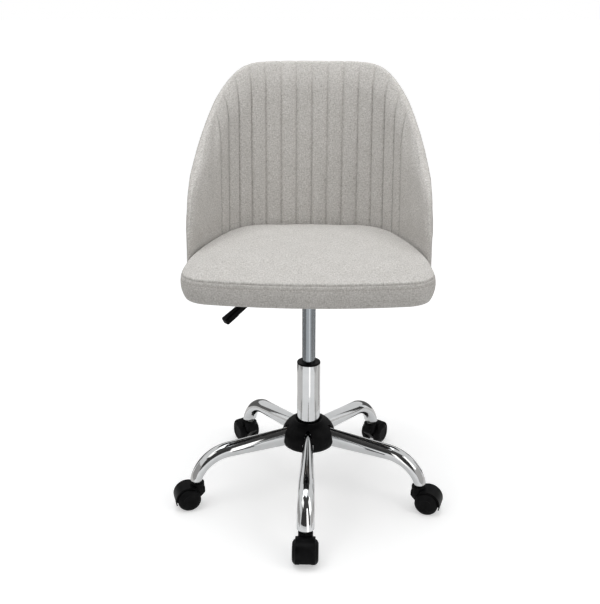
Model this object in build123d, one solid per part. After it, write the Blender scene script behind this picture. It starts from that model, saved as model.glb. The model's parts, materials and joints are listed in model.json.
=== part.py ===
from build123d import *
import math
import os

# Armless swivel task chair: channelled wrap-around back, upholstered seat, gas lift,
# five-star tube base and twin-wheel casters. Millimetres, +Z up, the sitter faces -Y,
# the origin is on the floor under the column. The lift is stored fully raised.

# Clearances
running_fit = 0.05  # radial, a shaft that turns or slides in a bore
press_gap = 0.02  # radial, a piece pressed or welded into another
body_gap = 0.3  # between pieces that move past each other
foam_gap = 0.5  # round a piece buried in foam

# Casters
wheel_diameter = 50.0
wheel_width = 15.0
wheel_gap = 22.0  # between the two inner wheel faces
wheel_tread = 8.0  # straight part of the tread, from the inner face
wheel_cap_diameter = 27.0
wheel_bore_depth = 11.0
wheel_recess = 7.0
wheel_rim = 4.5
wheel_hub_diameter = 17.0
caster_trail = 21.0  # stem axis to axle
hood_width = 40.0
hood_wall = 2.5
hood_clearance = 2.0
hood_lip_angle = -18.0  # outer edge, below the axle's level
hood_sweep = 143.0
web_clearance = 0.8
web_drop = 19.0  # web below the axle
axle_diameter = 6.0
neck_diameter = 30.0
neck_rise = 3.0
neck_depth = 26.0
neck_round = 6.0
stem_diameter = 11.0
stem_length = 17.0
stem_pin_diameter = 8.0
stem_pin_depth = 16.0
collar_diameter = 16.0
collar_height = 2.5

# Star base
leg_count = 5
stem_circle = 251.0  # column axis to caster stem
leg_wall = 1.8
leg_hub_half_height = 23.0
leg_hub_half_width = 8.8
leg_knee_half_height = 16.7
leg_knee_half_width = 16.5
leg_tip_half_height = 12.5
leg_tip_half_width = 17.7
leg_slope = 5.2  # degrees down, hub to knee
leg_tip_slope = 72.0
leg_bend_radius = 87.0
leg_tip_offset = 2.0  # tube centre outside the stem axis
leg_tail = 16.0
socket_diameter = 17.0
socket_drop = 5.0  # boss below the leg's open end
socket_height = 26.0
socket_round = 3.0
hub_diameter = 62.0
hub_height = 56.0
cover_diameter = 117.0
cover_wall = 2.5
cover_rise = 8.0
cover_skirt = 20.0  # skirt below the leg's centre
cover_side = 9.0
cover_lip = 6.0  # rounded lip, out from the column
cover_sink = 4.0  # sunk between the lip and the column
cover_slot_clearance = 0.6

# Gas lift
column_diameter = 50.0
column_wall = 1.6
column_length = 200.5
column_drop = 4.0  # column below the hub
column_floor = 3.0
column_taper = 0.6  # radial, over the hub's height
bush_flange = 3.0
bush_length = 70.0
bush_round = 1.5
cylinder_diameter = 28.0
cylinder_wall = 1.6
cylinder_length = 233.0
cylinder_taper = 0.7  # radial, over the cup's height
cylinder_head = 26.0
gland_height = 12.0
rod_diameter = 10.0
rod_foot_diameter = 8.0
rod_foot_drop = 5.0
piston_height = 10.0
stroke = 120.0
race_height = 2.5
race_diameter = 34.0
ball_diameter = 4.0
ball_count = 10
ball_circle = 24.0
cage_height = 1.6
bump_height = 8.0
bump_clearance = 2.0
clip_height = 1.2
clip_diameter = 16.0
button_diameter = 8.0
button_rise = 8.0
button_length = 20.0
button_travel = 3.7

# Seat mechanism
plate_width = 180.0
plate_length = 205.0
plate_thickness = 2.5
plate_flange = 9.0
plate_corner = 14.0
bolt_spacing_x = 152.0
bolt_spacing_y = 178.0
pan_width = 84.0
pan_length = 140.0
pan_depth = 43.0
pan_corner = 12.0
pan_taper = 6.0
cup_drop = 14.0  # cup below the pan
cup_recess = 2.0  # cup's rim below the cylinder's top
cup_wall = 3.0
lever_bar_height = 10.0
lever_bar_width = 8.0
lever_reach = 5.0  # bar past the column axis
lever_pivot_offset = 28.0
lever_bar_end = 58.0
lever_headroom = 6.0
lever_rod_diameter = 8.0
lever_elbow = 72.0
lever_tip = (-168.0, -78.0)
lever_tip_drop = 66.0
lever_elbow_radius = 18.0
handle_length = 90.0
handle_width = 19.0
handle_neck = 12.0
handle_thickness = 13.0
handle_tip_round = 4.0
handle_ledge = 1.5  # step underneath
handle_ledge_start = 30.0
handle_socket = 45.0
clevis_ear = 3.0
clevis_length = 18.0
pin_diameter = 5.0

# Seat
dust_thickness = 1.0
dust_inset = 16.0
board_thickness = 12.0
board_inset = 15.0
seat_front = 217.0  # column axis to front edge
seat_front_bow = 1100.0
seat_corner = 62.0
seat_band = 45.0  # boxed edge, from the board's bottom to the seam
seat_lip = 4.0  # the edge turned under, below the board
seat_foot_draw = 9.0  # edge drawn in at the bottom
seat_foot_curve = 2.4
seat_seam_draw = 2.5  # edge drawn in at the seam
seat_seam_curve = 6.0
crown_rise = 15.0
crown_curve = 4.4
crown_inset = 120.0
crown_corner = 18.0
back_clearance = 1.5  # cushion to back jacket

# Back, its lengths along the inner face taken from the middle of the back
back_height = 398.5
recline = 60.0  # backward lean over the back's height
inner_depth = 213.0  # column axis to the inner face, at the bottom
inner_crown_radius = 390.0
inner_crown_angle = 12.0  # degrees round from straight back to the crown's end
inner_shoulder_radius = 143.0
inner_shoulder_angle = 67.5  # to the shoulder's end
inner_side_radius = 775.0
outer_side_radius = 455.0  # closes on the inner face towards the wings' front
inner_foam = 9.0
outer_foam = 9.0
shell_thickness = 9.0
shell_front = 25.0  # column axis to the front of the shell's wings
shell_margin = 22.0  # jacket's rim above the shell
rim_roll = 65.0  # the inner face rolls outwards over this height
rim_tip_radius = 8.0
rim_tip_share = 0.4  # of the wall's thickness, where the wall is thin
rim_corner = 147.0  # level rim to here
rim_corner_blend = 20.0
rim_slope = 0.985  # fall along the wings
wing_length = 412.0
wing_corner = 16.0  # rounded off over this length at the wing's front
wing_corner_blend = 4.0
wing_corner_slope = 3.5
wing_nose = 7.0  # the wall narrows to its front over this length
wing_nose_close = 0.9
seam_count = 7  # each side of the middle seam
seam_pitch = 34.0
seam_width = 13.0
seam_depth = 5.0

# Back brackets
bracket_angle = 7.5
bracket_width = 44.0
bracket_thickness = 4.0
bracket_length = 115.0
bracket_height = 75.0
bracket_bolt_setback = 60.0
bracket_bolt_pitch = 35.0
bracket_screw_low = 36.0
bracket_screw_pitch = 24.0

# Fasteners
bolt_diameter = 6.0
bolt_head_width = 10.0
bolt_head_height = 4.0
bolt_flange_diameter = 14.0
bolt_flange_height = 1.2
tee_flange_diameter = 19.0
tee_flange_height = 1.5
tee_barrel_diameter = 7.8
tee_barrel_height = 9.0
hole_clearance = 0.4
screw_diameter = 5.0
screw_head_diameter = 10.0
screw_head_height = 3.0

# Levels, from the floor up
wheel_radius = wheel_diameter / 2
axle_z = wheel_radius
hood_inner = wheel_radius + hood_clearance
hood_outer = hood_inner + hood_wall
neck_top = axle_z + hood_outer + neck_rise
collar_bottom = neck_top + body_gap
socket_bottom = collar_bottom + collar_height
tip_z = socket_bottom + socket_drop
tip_r = stem_circle + leg_tip_offset
slope = math.radians(leg_slope)
tip_slope = math.radians(leg_tip_slope)
knee_r = tip_r - leg_bend_radius * (math.sin(tip_slope) - math.sin(slope))
knee_z = tip_z + leg_bend_radius * (math.cos(slope) - math.cos(tip_slope))
hub_radius = hub_diameter / 2
hub_z = knee_z + math.tan(slope) * (knee_r - hub_radius)
hub_bottom = hub_z - hub_height / 2
hub_top = hub_z + hub_height / 2
cover_top = hub_top + cover_rise
cover_bottom = hub_z - cover_skirt
column_radius = column_diameter / 2
column_bottom = hub_bottom - column_drop
column_top = column_bottom + column_length
column_bore = column_radius - column_wall
bush_top = column_top + bush_flange
floor_top = column_bottom + column_floor
ball_z = floor_top + race_height + ball_diameter / 2
upper_race = ball_z + ball_diameter / 2 + body_gap
rod_shoulder = upper_race + race_height
bump_top = rod_shoulder + bump_height
cylinder_radius = cylinder_diameter / 2
cylinder_bottom = bump_top + bump_clearance + stroke
cylinder_top = cylinder_bottom + cylinder_length
cylinder_bore = cylinder_radius - cylinder_wall
piston_bottom = cylinder_bottom + gland_height + body_gap
button_top = cylinder_top + button_rise
lever_z = button_top + body_gap + lever_bar_height / 2
plate_bottom = lever_z + lever_bar_height / 2 + lever_headroom
plate_top = plate_bottom + plate_thickness
pan_bottom = plate_bottom - pan_depth
cup_bottom = pan_bottom - cup_drop
cup_top = cylinder_top - cup_recess
board_bottom = plate_top + dust_thickness
board_top = board_bottom + board_thickness
seam_z = board_bottom + seat_band
crown_z = seam_z + crown_rise
back_bottom = board_bottom + back_clearance
back_top = back_bottom + back_height
lean = recline / back_height


def heading(turn):
    """Plan direction, turned in radians from straight back towards +X."""
    return Vector(math.sin(turn), math.cos(turn))


# Arcs of the back in plan, on the +X side
crown_turn = math.radians(inner_crown_angle)
shoulder_turn = math.radians(inner_shoulder_angle)
crown_length = inner_crown_radius * crown_turn
shoulder_length = inner_shoulder_radius * (shoulder_turn - crown_turn)
crown_centre = Vector(0, inner_depth - inner_crown_radius)
shoulder_centre = crown_centre + heading(crown_turn) * (inner_crown_radius - inner_shoulder_radius)
side_centre = shoulder_centre + heading(shoulder_turn) * (inner_shoulder_radius - inner_side_radius)
wall_thickness = inner_foam + shell_thickness + outer_foam
outer_shoulder_radius = inner_shoulder_radius + wall_thickness
outer_side_centre = shoulder_centre + heading(shoulder_turn) * (outer_shoulder_radius - outer_side_radius)
shell_radius = inner_crown_radius + inner_foam + shell_thickness
bracket_heel = shell_radius + press_gap + bracket_thickness


def turned(points):
    """A piece turned about the Z axis from its half profile, given as (radius, height)."""
    profile = make_face(Polyline(*points, close=True))
    return revolve(Plane.XZ * profile, Axis.Z)


def tube(outer, inner, bottom, top):
    """A plain ring or tube about the Z axis."""
    return turned([(inner, bottom), (outer, bottom), (outer, top), (inner, top)])


def rod(radius, bottom, top):
    """A plain round bar on the Z axis."""
    return Pos(0, 0, bottom) * Cylinder(radius, top - bottom, align=(Align.CENTER, Align.CENTER, Align.MIN))


# Star base, with each leg drawn along +X


def leg_angle(index):
    """The first leg points to the front."""
    return -90 + index * 360 / leg_count


def leg_section(r, z, droop, half_height, half_width):
    """Oval tube section square to the leg's path."""
    along = (math.cos(droop), 0, -math.sin(droop))
    return Plane(origin=(r, 0, z), x_dir=(0, 1, 0), z_dir=along) * Ellipse(half_width, half_height)


def leg_solid(grow):
    """The leg's outside grown by a wall or a clearance: straight from the hub, then bent down to the tip."""
    middle = (slope + tip_slope) / 2
    start_r = hub_radius / 2
    straight_r = (start_r + knee_r) / 2
    bend_r = knee_r + leg_bend_radius * (math.sin(middle) - math.sin(slope))
    bend_z = knee_z - leg_bend_radius * (math.cos(slope) - math.cos(middle))
    tail_r = tip_r + leg_tail * math.cos(tip_slope)
    tail_z = tip_z - leg_tail * math.sin(tip_slope)
    halves = [(leg_hub_half_height, leg_hub_half_width), (leg_knee_half_height, leg_knee_half_width)]
    halves.append((leg_tip_half_height, leg_tip_half_width))
    hub, knee, tip = [(height + grow, width + grow) for height, width in halves]
    arm = [(a + b) / 2 for a, b in zip(hub, knee)]
    bend = [(a + b) / 2 for a, b in zip(knee, tip)]
    rise = math.tan(slope)
    sections = [
        leg_section(start_r, knee_z + rise * (knee_r - start_r), slope, *hub),
        leg_section(straight_r, knee_z + rise * (knee_r - straight_r), slope, *arm),
        leg_section(knee_r, knee_z, slope, *knee),
        leg_section(bend_r, bend_z, middle, *bend),
        leg_section(tip_r, tip_z, tip_slope, *tip),
        leg_section(tail_r, tail_z, tip_slope, *tip),
    ]
    return loft(sections)


def below_tip():
    """Everything under the leg's open end."""
    size = 4 * leg_tip_half_width + 4 * leg_tail
    return Pos(tip_r, 0, tip_z - size / 2) * Box(size, size, size)


def leg():
    hollow = leg_solid(0) - leg_solid(-leg_wall)
    return hollow - below_tip() - rod(hub_radius + press_gap, 0, cover_top + hub_height)


def caster_socket():
    """Bright boss welded inside the leg's open end, with the stem's bore."""
    boss = rod(socket_diameter / 2, socket_bottom, socket_bottom + socket_height)
    boss = fillet(boss.edges().group_by(Axis.Z)[0], socket_round)
    boss = boss - rod(stem_diameter / 2 + press_gap, socket_bottom, socket_bottom + socket_height)
    room = leg_solid(-leg_wall - press_gap) + below_tip()
    return (Pos(stem_circle, 0, 0) * boss) & room


def hub():
    bottom_bore = column_radius - column_taper + press_gap
    top_bore = column_radius + press_gap
    return turned(
        [
            (bottom_bore, hub_bottom),
            (hub_radius, hub_bottom),
            (hub_radius, hub_top),
            (top_bore, hub_top),
        ]
    )


def leg_half_width_at(r):
    """Half width of the straight part of a leg."""
    share = (r - hub_radius / 2) / (knee_r - hub_radius / 2)
    return leg_hub_half_width + share * (leg_knee_half_width - leg_hub_half_width)


def cover_profile(wall):
    """Half profile of the domed cover, moved inwards by a wall: sunk round the column, lipped, domed."""
    hole = column_radius + body_gap
    edge = cover_diameter / 2 - wall
    crest_r = hole + cover_lip
    crest_z = cover_top - wall
    shoulder = hub_z - cover_side / 2
    sunk = Line((hole, crest_z - cover_sink), (crest_r - cover_sink, crest_z - cover_sink))
    lip = CenterArc((crest_r, crest_z - cover_sink), cover_sink, 90, 90)
    dome_middle = (crest_r * 0.33 + edge * 0.67, shoulder * 0.33 + crest_z * 0.67)
    dome = ThreePointArc((crest_r, crest_z), dome_middle, (edge, shoulder))
    side = Line(dome @ 1, (edge, shoulder - cover_side / 2))
    tuck = ThreePointArc(side @ 1, (edge - 0.4, cover_bottom + 4.5), (edge - 2.5, cover_bottom))
    return [sunk, lip, dome, side, tuck]


def hub_cover():
    outer = cover_profile(0)
    inner = cover_profile(cover_wall)
    bottom = Line(outer[-1] @ 1, inner[-1] @ 1)
    top = Line(outer[0] @ 0, inner[0] @ 0)
    shell = revolve(Plane.XZ * make_face(outer + [bottom] + inner + [top]), Axis.Z)
    hole = column_radius + body_gap
    shell = shell + tube(hole + cover_wall, hole, hub_top, cover_top - cover_sink - cover_wall / 2)
    slot = leg_solid(cover_slot_clearance)
    half_width = leg_half_width_at(cover_diameter / 2) + cover_slot_clearance
    slot_depth = hub_z - cover_bottom + 1
    below = Box(cover_diameter, 2 * half_width, slot_depth, align=(Align.MIN, Align.CENTER, Align.MAX))
    slot = slot + Pos(hub_radius, 0, hub_z) * below
    for index in range(leg_count):
        shell = shell - Rot(0, 0, leg_angle(index)) * slot
    return shell


# Casters, drawn under the leg along +X and rolling outwards


def arc_band(radius_in, radius_out, width):
    """Ring sector round the axle, from the hood's lip over to the neck."""
    centre = (stem_circle + caster_trail, axle_z)
    outer = CenterArc(centre, radius_out, hood_lip_angle, hood_sweep)
    if radius_in > 0:
        inner = CenterArc(centre, radius_in, hood_lip_angle, hood_sweep)
        edges = [outer, Line(outer @ 1, inner @ 1), inner, Line(inner @ 0, outer @ 0)]
    else:
        edges = [outer, Line(outer @ 1, centre), Line(centre, outer @ 0)]
    return extrude(Plane.XZ * make_face(edges), width / 2, both=True)


def across(radius, start, end):
    """Round bar on the axle's line, from start to end across the caster."""
    middle = (start + end) / 2
    return Pos(stem_circle + caster_trail, middle, axle_z) * Rot(90, 0, 0) * Cylinder(radius, end - start)


def caster_body():
    """Hood, centre web and neck moulded as one piece."""
    hood = arc_band(hood_inner, hood_outer, hood_width)
    rims = [edge for edge in hood.edges().filter_by(GeomType.CIRCLE) if abs(edge.radius - hood_outer) < 0.01]
    hood = fillet(rims, hood_wall * 0.6)
    web_width = wheel_gap - 2 * web_clearance
    web = arc_band(0, hood_inner + hood_wall / 2, web_width)
    neck_radius = neck_diameter / 2
    heel = Pos(stem_circle - neck_radius + neck_round, neck_top - neck_depth + neck_round)
    heel = heel * Circle(neck_round)
    nape = Pos(stem_circle - neck_radius + neck_round, neck_top - 2 * neck_round) * Circle(neck_round)
    boss = Pos(stem_circle + caster_trail, axle_z) * Circle(web_drop)
    root = make_hull(heel.edges() + nape.edges() + boss.edges())
    root = extrude(Plane.XZ * root, web_width / 2, both=True)
    neck = rod(neck_radius, neck_top - neck_depth, neck_top)
    neck = fillet(neck.edges().group_by(Axis.Z)[-1], hood_wall * 0.8)
    neck = fillet(neck.edges().group_by(Axis.Z)[0], neck_round)
    body = hood + web + root + Pos(stem_circle, 0, 0) * neck
    sweep_radius = wheel_radius + hood_clearance / 2
    start = wheel_gap / 2 - web_clearance / 2
    body = body - across(sweep_radius, start, hood_width) - across(sweep_radius, -hood_width, -start)
    pin_bore = rod(stem_pin_diameter / 2 + running_fit, neck_top - stem_pin_depth - body_gap, neck_top)
    body = body - Pos(stem_circle, 0, 0) * pin_bore
    return body - across(axle_diameter / 2 + press_gap, -wheel_gap, wheel_gap)


def caster_wheel(side):
    """Wheel with a plain tread, a domed outer face and a recess behind it."""
    bore = axle_diameter / 2 + running_fit
    hub_r = wheel_hub_diameter / 2
    rim_r = wheel_radius - wheel_rim
    cap_r = wheel_cap_diameter / 2
    dish = 0.8
    corner = 1.0
    tread = [
        (0, wheel_bore_depth),
        (bore, wheel_bore_depth),
        (bore, 0),
        (hub_r, 0),
        (hub_r, wheel_recess),
        (rim_r, wheel_recess),
        (rim_r, 0),
        (wheel_radius - corner, 0),
        (wheel_radius, corner),
        (wheel_radius, wheel_tread),
    ]
    face = [(cap_r, wheel_width), (cap_r - 2 * dish, wheel_width - dish), (0, wheel_width - dish)]
    middle = (wheel_radius * 0.72 + cap_r * 0.28, wheel_tread * 0.36 + wheel_width * 0.64)
    edges = [Polyline(*tread), ThreePointArc(tread[-1], middle, face[0]), Polyline(*face, tread[0])]
    wheel = revolve(Plane.XZ * make_face(edges), Axis.Z)
    turn = -90 if side > 0 else 90
    return Pos(stem_circle + caster_trail, side * wheel_gap / 2, axle_z) * Rot(turn, 0, 0) * wheel


def caster_axle():
    half = wheel_gap / 2 + wheel_bore_depth - body_gap
    return across(axle_diameter / 2, -half, half)


def caster_stem():
    """Stem pressed into the socket, with a collar and the pin that the body turns on."""
    pin = stem_pin_diameter / 2
    shank = stem_diameter / 2
    collar = collar_diameter / 2
    top = socket_bottom + stem_length
    groove = 0.6
    points = [
        (0, neck_top - stem_pin_depth),
        (pin, neck_top - stem_pin_depth),
        (pin, collar_bottom),
        (collar, collar_bottom),
        (collar, socket_bottom),
        (shank, socket_bottom),
        (shank, top - 7),
        (shank - groove, top - 6.4),
        (shank - groove, top - 4.2),
        (shank, top - 3.6),
        (shank, top - 1.5),
        (shank - 1.5, top),
        (0, top),
    ]
    return Pos(stem_circle, 0, 0) * turned(points)


# Gas lift, on the Z axis


def column_tube():
    """Outer tube, tapered where it sits in the hub, with a floor that the piston rod stands on."""
    foot = column_radius - column_taper
    floor_hole = rod_foot_diameter / 2 + 2 * body_gap
    return turned(
        [
            (floor_hole, column_bottom),
            (foot, column_bottom),
            (foot, hub_bottom),
            (column_radius, hub_top),
            (column_radius, column_top),
            (column_bore, column_top),
            (column_bore, hub_top),
            (column_bore - column_taper, hub_bottom),
            (column_bore - column_taper, floor_top),
            (floor_hole, floor_top),
        ]
    )


def guide_bush():
    bore = cylinder_radius + running_fit
    ring = tube(column_radius, bore, column_top, bush_top)
    ring = fillet(ring.edges().group_by(Axis.Z)[-1].sort_by(SortBy.RADIUS)[-1:], bush_round)
    return ring + tube(column_bore - press_gap, bore, column_top - bush_length, column_top)


def gas_cylinder():
    """Inner cylinder: tapered head for the seat's cup, valve bore, and an open foot for the gland."""
    head_bottom = cylinder_top - cylinder_head
    button_bore = button_diameter / 2 + running_fit
    bore_bottom = button_top - button_length - button_travel - 2 * body_gap
    return turned(
        [
            (cylinder_bore, cylinder_bottom),
            (cylinder_radius, cylinder_bottom),
            (cylinder_radius, cup_bottom),
            (cylinder_radius - cylinder_taper, cylinder_top),
            (button_bore, cylinder_top),
            (button_bore, bore_bottom),
            (0, bore_bottom),
            (0, head_bottom),
            (cylinder_bore, head_bottom),
        ]
    )


def cylinder_gland():
    return tube(
        cylinder_bore - press_gap,
        rod_diameter / 2 + running_fit,
        cylinder_bottom,
        cylinder_bottom + gland_height,
    )


def piston_rod():
    """Rod with a shouldered foot that hangs in the column's floor, and a groove for its clip."""
    shank = rod_diameter / 2
    foot = rod_foot_diameter / 2
    neck = foot - 0.8
    clip_top = column_bottom - body_gap
    clip_bottom = clip_top - clip_height
    return turned(
        [
            (0, column_bottom - rod_foot_drop),
            (foot - 1, column_bottom - rod_foot_drop),
            (foot, column_bottom - rod_foot_drop + 1),
            (foot, clip_bottom),
            (neck, clip_bottom),
            (neck, clip_top),
            (foot, clip_top),
            (foot, rod_shoulder),
            (shank, rod_shoulder),
            (shank, piston_bottom),
            (foot, piston_bottom),
            (foot, piston_bottom + piston_height),
            (0, piston_bottom + piston_height),
        ]
    )


def piston():
    """Piston with a seal groove, pressed on the rod's end."""
    top = piston_bottom + piston_height
    edge = cylinder_bore - running_fit
    bore = rod_foot_diameter / 2 + press_gap
    return turned(
        [
            (bore, piston_bottom),
            (edge, piston_bottom),
            (edge, piston_bottom + 3),
            (edge - 1.5, piston_bottom + 3),
            (edge - 1.5, top - 3),
            (edge, top - 3),
            (edge, top),
            (bore, top),
        ]
    )


def rod_clip():
    """Open retaining clip under the column's floor."""
    neck = rod_foot_diameter / 2 - 0.8
    top = column_bottom - body_gap
    ring = tube(clip_diameter / 2, neck + press_gap, top - clip_height, top)
    return ring - Pos(0, clip_diameter / 2, top) * Box(neck * 1.6, clip_diameter, clip_diameter)


def bearing_race(bottom, bore):
    return tube(race_diameter / 2, bore, bottom, bottom + race_height)


def ball_places():
    return PolarLocations(ball_circle / 2, ball_count)


def bearing_balls():
    return [Pos(0, 0, ball_z) * place * Sphere(ball_diameter / 2) for place in ball_places()]


def ball_cage():
    cage = tube(race_diameter / 2, rod_diameter / 2 + 1, ball_z - cage_height / 2, ball_z + cage_height / 2)
    for place in ball_places():
        cage = cage - Pos(0, 0, ball_z) * place * Cylinder(ball_diameter / 2 + running_fit, 2 * cage_height)
    return cage


def bump_stop():
    stop = tube(column_bore * 0.62, rod_diameter / 2 + press_gap, rod_shoulder, bump_top)
    return fillet(stop.edges().group_by(Axis.Z)[-1].sort_by(SortBy.RADIUS)[-1:], 2)


def valve_button():
    button = rod(button_diameter / 2, button_top - button_length, button_top)
    return chamfer(button.edges().group_by(Axis.Z)[-1], 1)


# Seat mechanism


def seat_bolt_points():
    """Where the seat plate is bolted, then where each back bracket is bolted."""
    half_x = bolt_spacing_x / 2
    half_y = bolt_spacing_y / 2
    points = [(x, y) for x in (-half_x, half_x) for y in (-half_y, half_y)]
    for side in (-1, 1):
        for step in range(2):
            reach = shell_radius - bracket_bolt_setback - step * bracket_bolt_pitch
            angle = math.radians(side * bracket_angle)
            points.append((reach * math.sin(angle), crown_centre.Y + reach * math.cos(angle)))
    return points


def seat_plate():
    """Pressed plate with a turned-down edge."""
    outline = RectangleRounded(plate_width, plate_length, plate_corner)
    tray = extrude(Pos(0, 0, plate_top) * outline, -plate_flange)
    width = plate_width - 2 * plate_thickness
    length = plate_length - 2 * plate_thickness
    hollow = RectangleRounded(width, length, plate_corner - plate_thickness)
    tray = tray - extrude(Pos(0, 0, plate_bottom) * hollow, -plate_flange)
    for x, y in seat_bolt_points()[:4]:
        tray = tray - Pos(x, y, 0) * rod(bolt_diameter / 2 + hole_clearance, plate_bottom - 1, plate_top + 1)
    return tray


def mechanism_pan():
    """Drawn pan welded under the plate, with the cup's hole and the lever's slot."""
    outside = RectangleRounded(pan_width, pan_length, pan_corner)
    inner_width = pan_width - 2 * plate_thickness
    inner_length = pan_length - 2 * plate_thickness
    inside = RectangleRounded(inner_width, inner_length, pan_corner - plate_thickness)
    pan = extrude(Pos(0, 0, plate_bottom) * outside, -pan_depth, taper=pan_taper)
    pan = pan - extrude(Pos(0, 0, plate_bottom) * inside, -(pan_depth - plate_thickness), taper=pan_taper)
    cup_hole = cylinder_radius + cup_wall + 2 * press_gap
    pan = pan - rod(cup_hole, pan_bottom - 1, pan_bottom + 2 * plate_thickness)
    swing = button_travel + 4 * body_gap
    slot_height = lever_bar_height + 2 * swing
    slot = Box(pan_width, lever_bar_width + 4, slot_height, align=(Align.MAX, Align.CENTER, Align.CENTER))
    return pan - Pos(-lever_pivot_offset, 0, lever_z) * slot


def taper_cup():
    """Cup welded into the pan, holding the cylinder's tapered head."""
    drop = cylinder_taper * (cup_top - cup_bottom) / (cylinder_top - cup_bottom)
    return turned(
        [
            (cylinder_radius + press_gap, cup_bottom),
            (cylinder_radius + cup_wall, cup_bottom),
            (cylinder_radius + cup_wall, cup_top),
            (cylinder_radius - drop + press_gap, cup_top),
        ]
    )


def lever_clevis():
    """Two ears hung from the plate, joined by a bridge, carrying the lever's pin."""
    half_gap = lever_bar_width / 2 + body_gap
    ear_height = plate_bottom - lever_z + pin_diameter
    ear = Box(clevis_length, clevis_ear, ear_height, align=(Align.CENTER, Align.MIN, Align.MAX))
    hung = (Align.CENTER, Align.CENTER, Align.MAX)
    bridge = Box(clevis_length, 2 * (half_gap + clevis_ear), 1.5, align=hung)
    clevis = Pos(0, half_gap, 0) * ear + Pos(0, -half_gap - clevis_ear, 0) * ear + bridge
    clevis = Pos(-lever_pivot_offset, 0, plate_bottom) * clevis
    return clevis - lever_pin_bar(pin_diameter / 2 + press_gap)


def lever_pin_bar(radius):
    length = lever_bar_width + 2 * (body_gap + clevis_ear + 1)
    return Pos(-lever_pivot_offset, 0, lever_z) * Rot(90, 0, 0) * Cylinder(radius, length)


def lever_pin():
    return lever_pin_bar(pin_diameter / 2)


def handle_plane():
    """At the handle's tip, X back along the handle to the elbow, Y level across it."""
    elbow = Vector(-lever_elbow, 0, lever_z)
    tip = Vector(*lever_tip, lever_z - lever_tip_drop)
    along = (elbow - tip).normalized()
    level = Vector(0, 0, 1).cross(along).normalized()
    return Plane(origin=tip, x_dir=along, z_dir=along.cross(level))


def lever_bar():
    """Flat bar over the valve button, drawn on into a bent rod that carries the handle."""
    half = lever_bar_height / 2
    bar_length = lever_reach + lever_bar_end
    bar = Box(bar_length, lever_bar_width, lever_bar_height, align=(Align.MAX, Align.CENTER, Align.CENTER))
    bar = fillet(bar.edges().filter_by(Axis.Y).group_by(Axis.X)[-1], half * 0.6)
    bar = Pos(lever_reach, 0, lever_z) * bar
    bar = bar - lever_pin_bar(pin_diameter / 2 + running_fit)
    tip_plane = handle_plane()
    inner_end = tip_plane.from_local_coords(Vector(handle_length - handle_socket, 0, 0))
    start = Vector(-lever_bar_end + half, 0, lever_z)
    elbow = Vector(-lever_elbow, 0, lever_z)
    path = FilletPolyline(start, elbow, inner_end, radius=lever_elbow_radius)
    section = Plane(origin=start, z_dir=(-1, 0, 0)) * Circle(lever_rod_diameter / 2)
    return bar + sweep(section, path=path)


def lever_handle():
    """Flat paddle that widens to a blunt tip, stepped and ribbed underneath."""
    tip = handle_width / 2
    neck = handle_neck / 2
    outline = Polyline((0, -tip), (handle_length, -neck), (handle_length, neck), (0, tip), close=True)
    blade = make_face(outline)
    blade = fillet(blade.vertices().sort_by(Axis.X)[:2], handle_tip_round)
    paddle = extrude(blade, handle_thickness / 2, both=True)
    paddle = fillet(paddle.faces().sort_by(Axis.Z)[-1].edges(), handle_thickness * 0.25)
    paddle = fillet(paddle.faces().sort_by(Axis.Z)[0].edges(), handle_thickness * 0.1)
    ledge = Box(2 * handle_length, 2 * handle_width, 2 * handle_ledge)
    paddle = paddle - Pos(handle_ledge_start + handle_length, 0, -handle_thickness / 2) * ledge
    for step in range(4):
        rib_gap = Box(1.5, handle_width * 0.7, 1.6)
        paddle = paddle - Pos(tip + 4 * step, 0, -handle_thickness / 2) * rib_gap
    hung = (Align.CENTER, Align.CENTER, Align.MAX)
    bore = Cylinder(lever_rod_diameter / 2 + press_gap, handle_socket + press_gap, align=hung)
    paddle = paddle - Pos(handle_length, 0, 0) * Rot(0, 90, 0) * bore
    return handle_plane() * paddle


# Upholstery


def plan_arc(centre, radius, start, end, side):
    """Arc in plan from one turn to another, as given or mirrored to -X."""
    places = [centre + heading(turn) * radius for turn in (start, (start + end) / 2, end)]
    return ThreePointArc(*[(side * place.X, place.Y) for place in places])


def tub_curve(offset, end_turn):
    """Inner face of the back moved outwards by an offset: flat crown, tighter shoulders, splayed sides."""
    edges = [plan_arc(crown_centre, inner_crown_radius + offset, -crown_turn, crown_turn, 1)]
    for side in (1, -1):
        shoulder_radius = inner_shoulder_radius + offset
        edges.append(plan_arc(shoulder_centre, shoulder_radius, crown_turn, shoulder_turn, side))
        edges.append(plan_arc(side_centre, inner_side_radius + offset, shoulder_turn, end_turn, side))
    return edges


def circles_meet(first, first_radius, second, second_radius):
    """Meeting point of two circles in plan, to the right of the line between their centres."""
    gap = second - first
    along = (gap.length**2 + first_radius**2 - second_radius**2) / (2 * gap.length)
    unit = gap.normalized()
    return first + unit * along + Vector(unit.Y, -unit.X) * math.sqrt(first_radius**2 - along**2)


def turn_of(direction):
    """Turn of a plan direction from straight back."""
    return math.atan2(direction.X, direction.Y)


def seat_outline(inset):
    """Cushion outline, following the back and running on past its wings, drawn inwards by an inset."""
    offset = -back_clearance - inset
    side_radius = inner_side_radius + offset
    bow_radius = seat_front_bow - inset
    bow_centre = Vector(0, seat_front_bow - seat_front)
    corner = max(seat_corner - inset, crown_corner)
    corner_centre = circles_meet(side_centre, side_radius - corner, bow_centre, bow_radius - corner)
    side_turn = turn_of(corner_centre - side_centre)
    bow_turn = turn_of(corner_centre - bow_centre)
    edges = tub_curve(offset, side_turn)
    for side in (1, -1):
        edges.append(plan_arc(corner_centre, corner, side_turn, bow_turn, side))
    edges.append(plan_arc(bow_centre, bow_radius, bow_turn, 2 * math.pi - bow_turn, 1))
    return make_face(edges)


def seat_level(height, inset):
    return Pos(0, 0, height) * seat_outline(inset)


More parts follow.
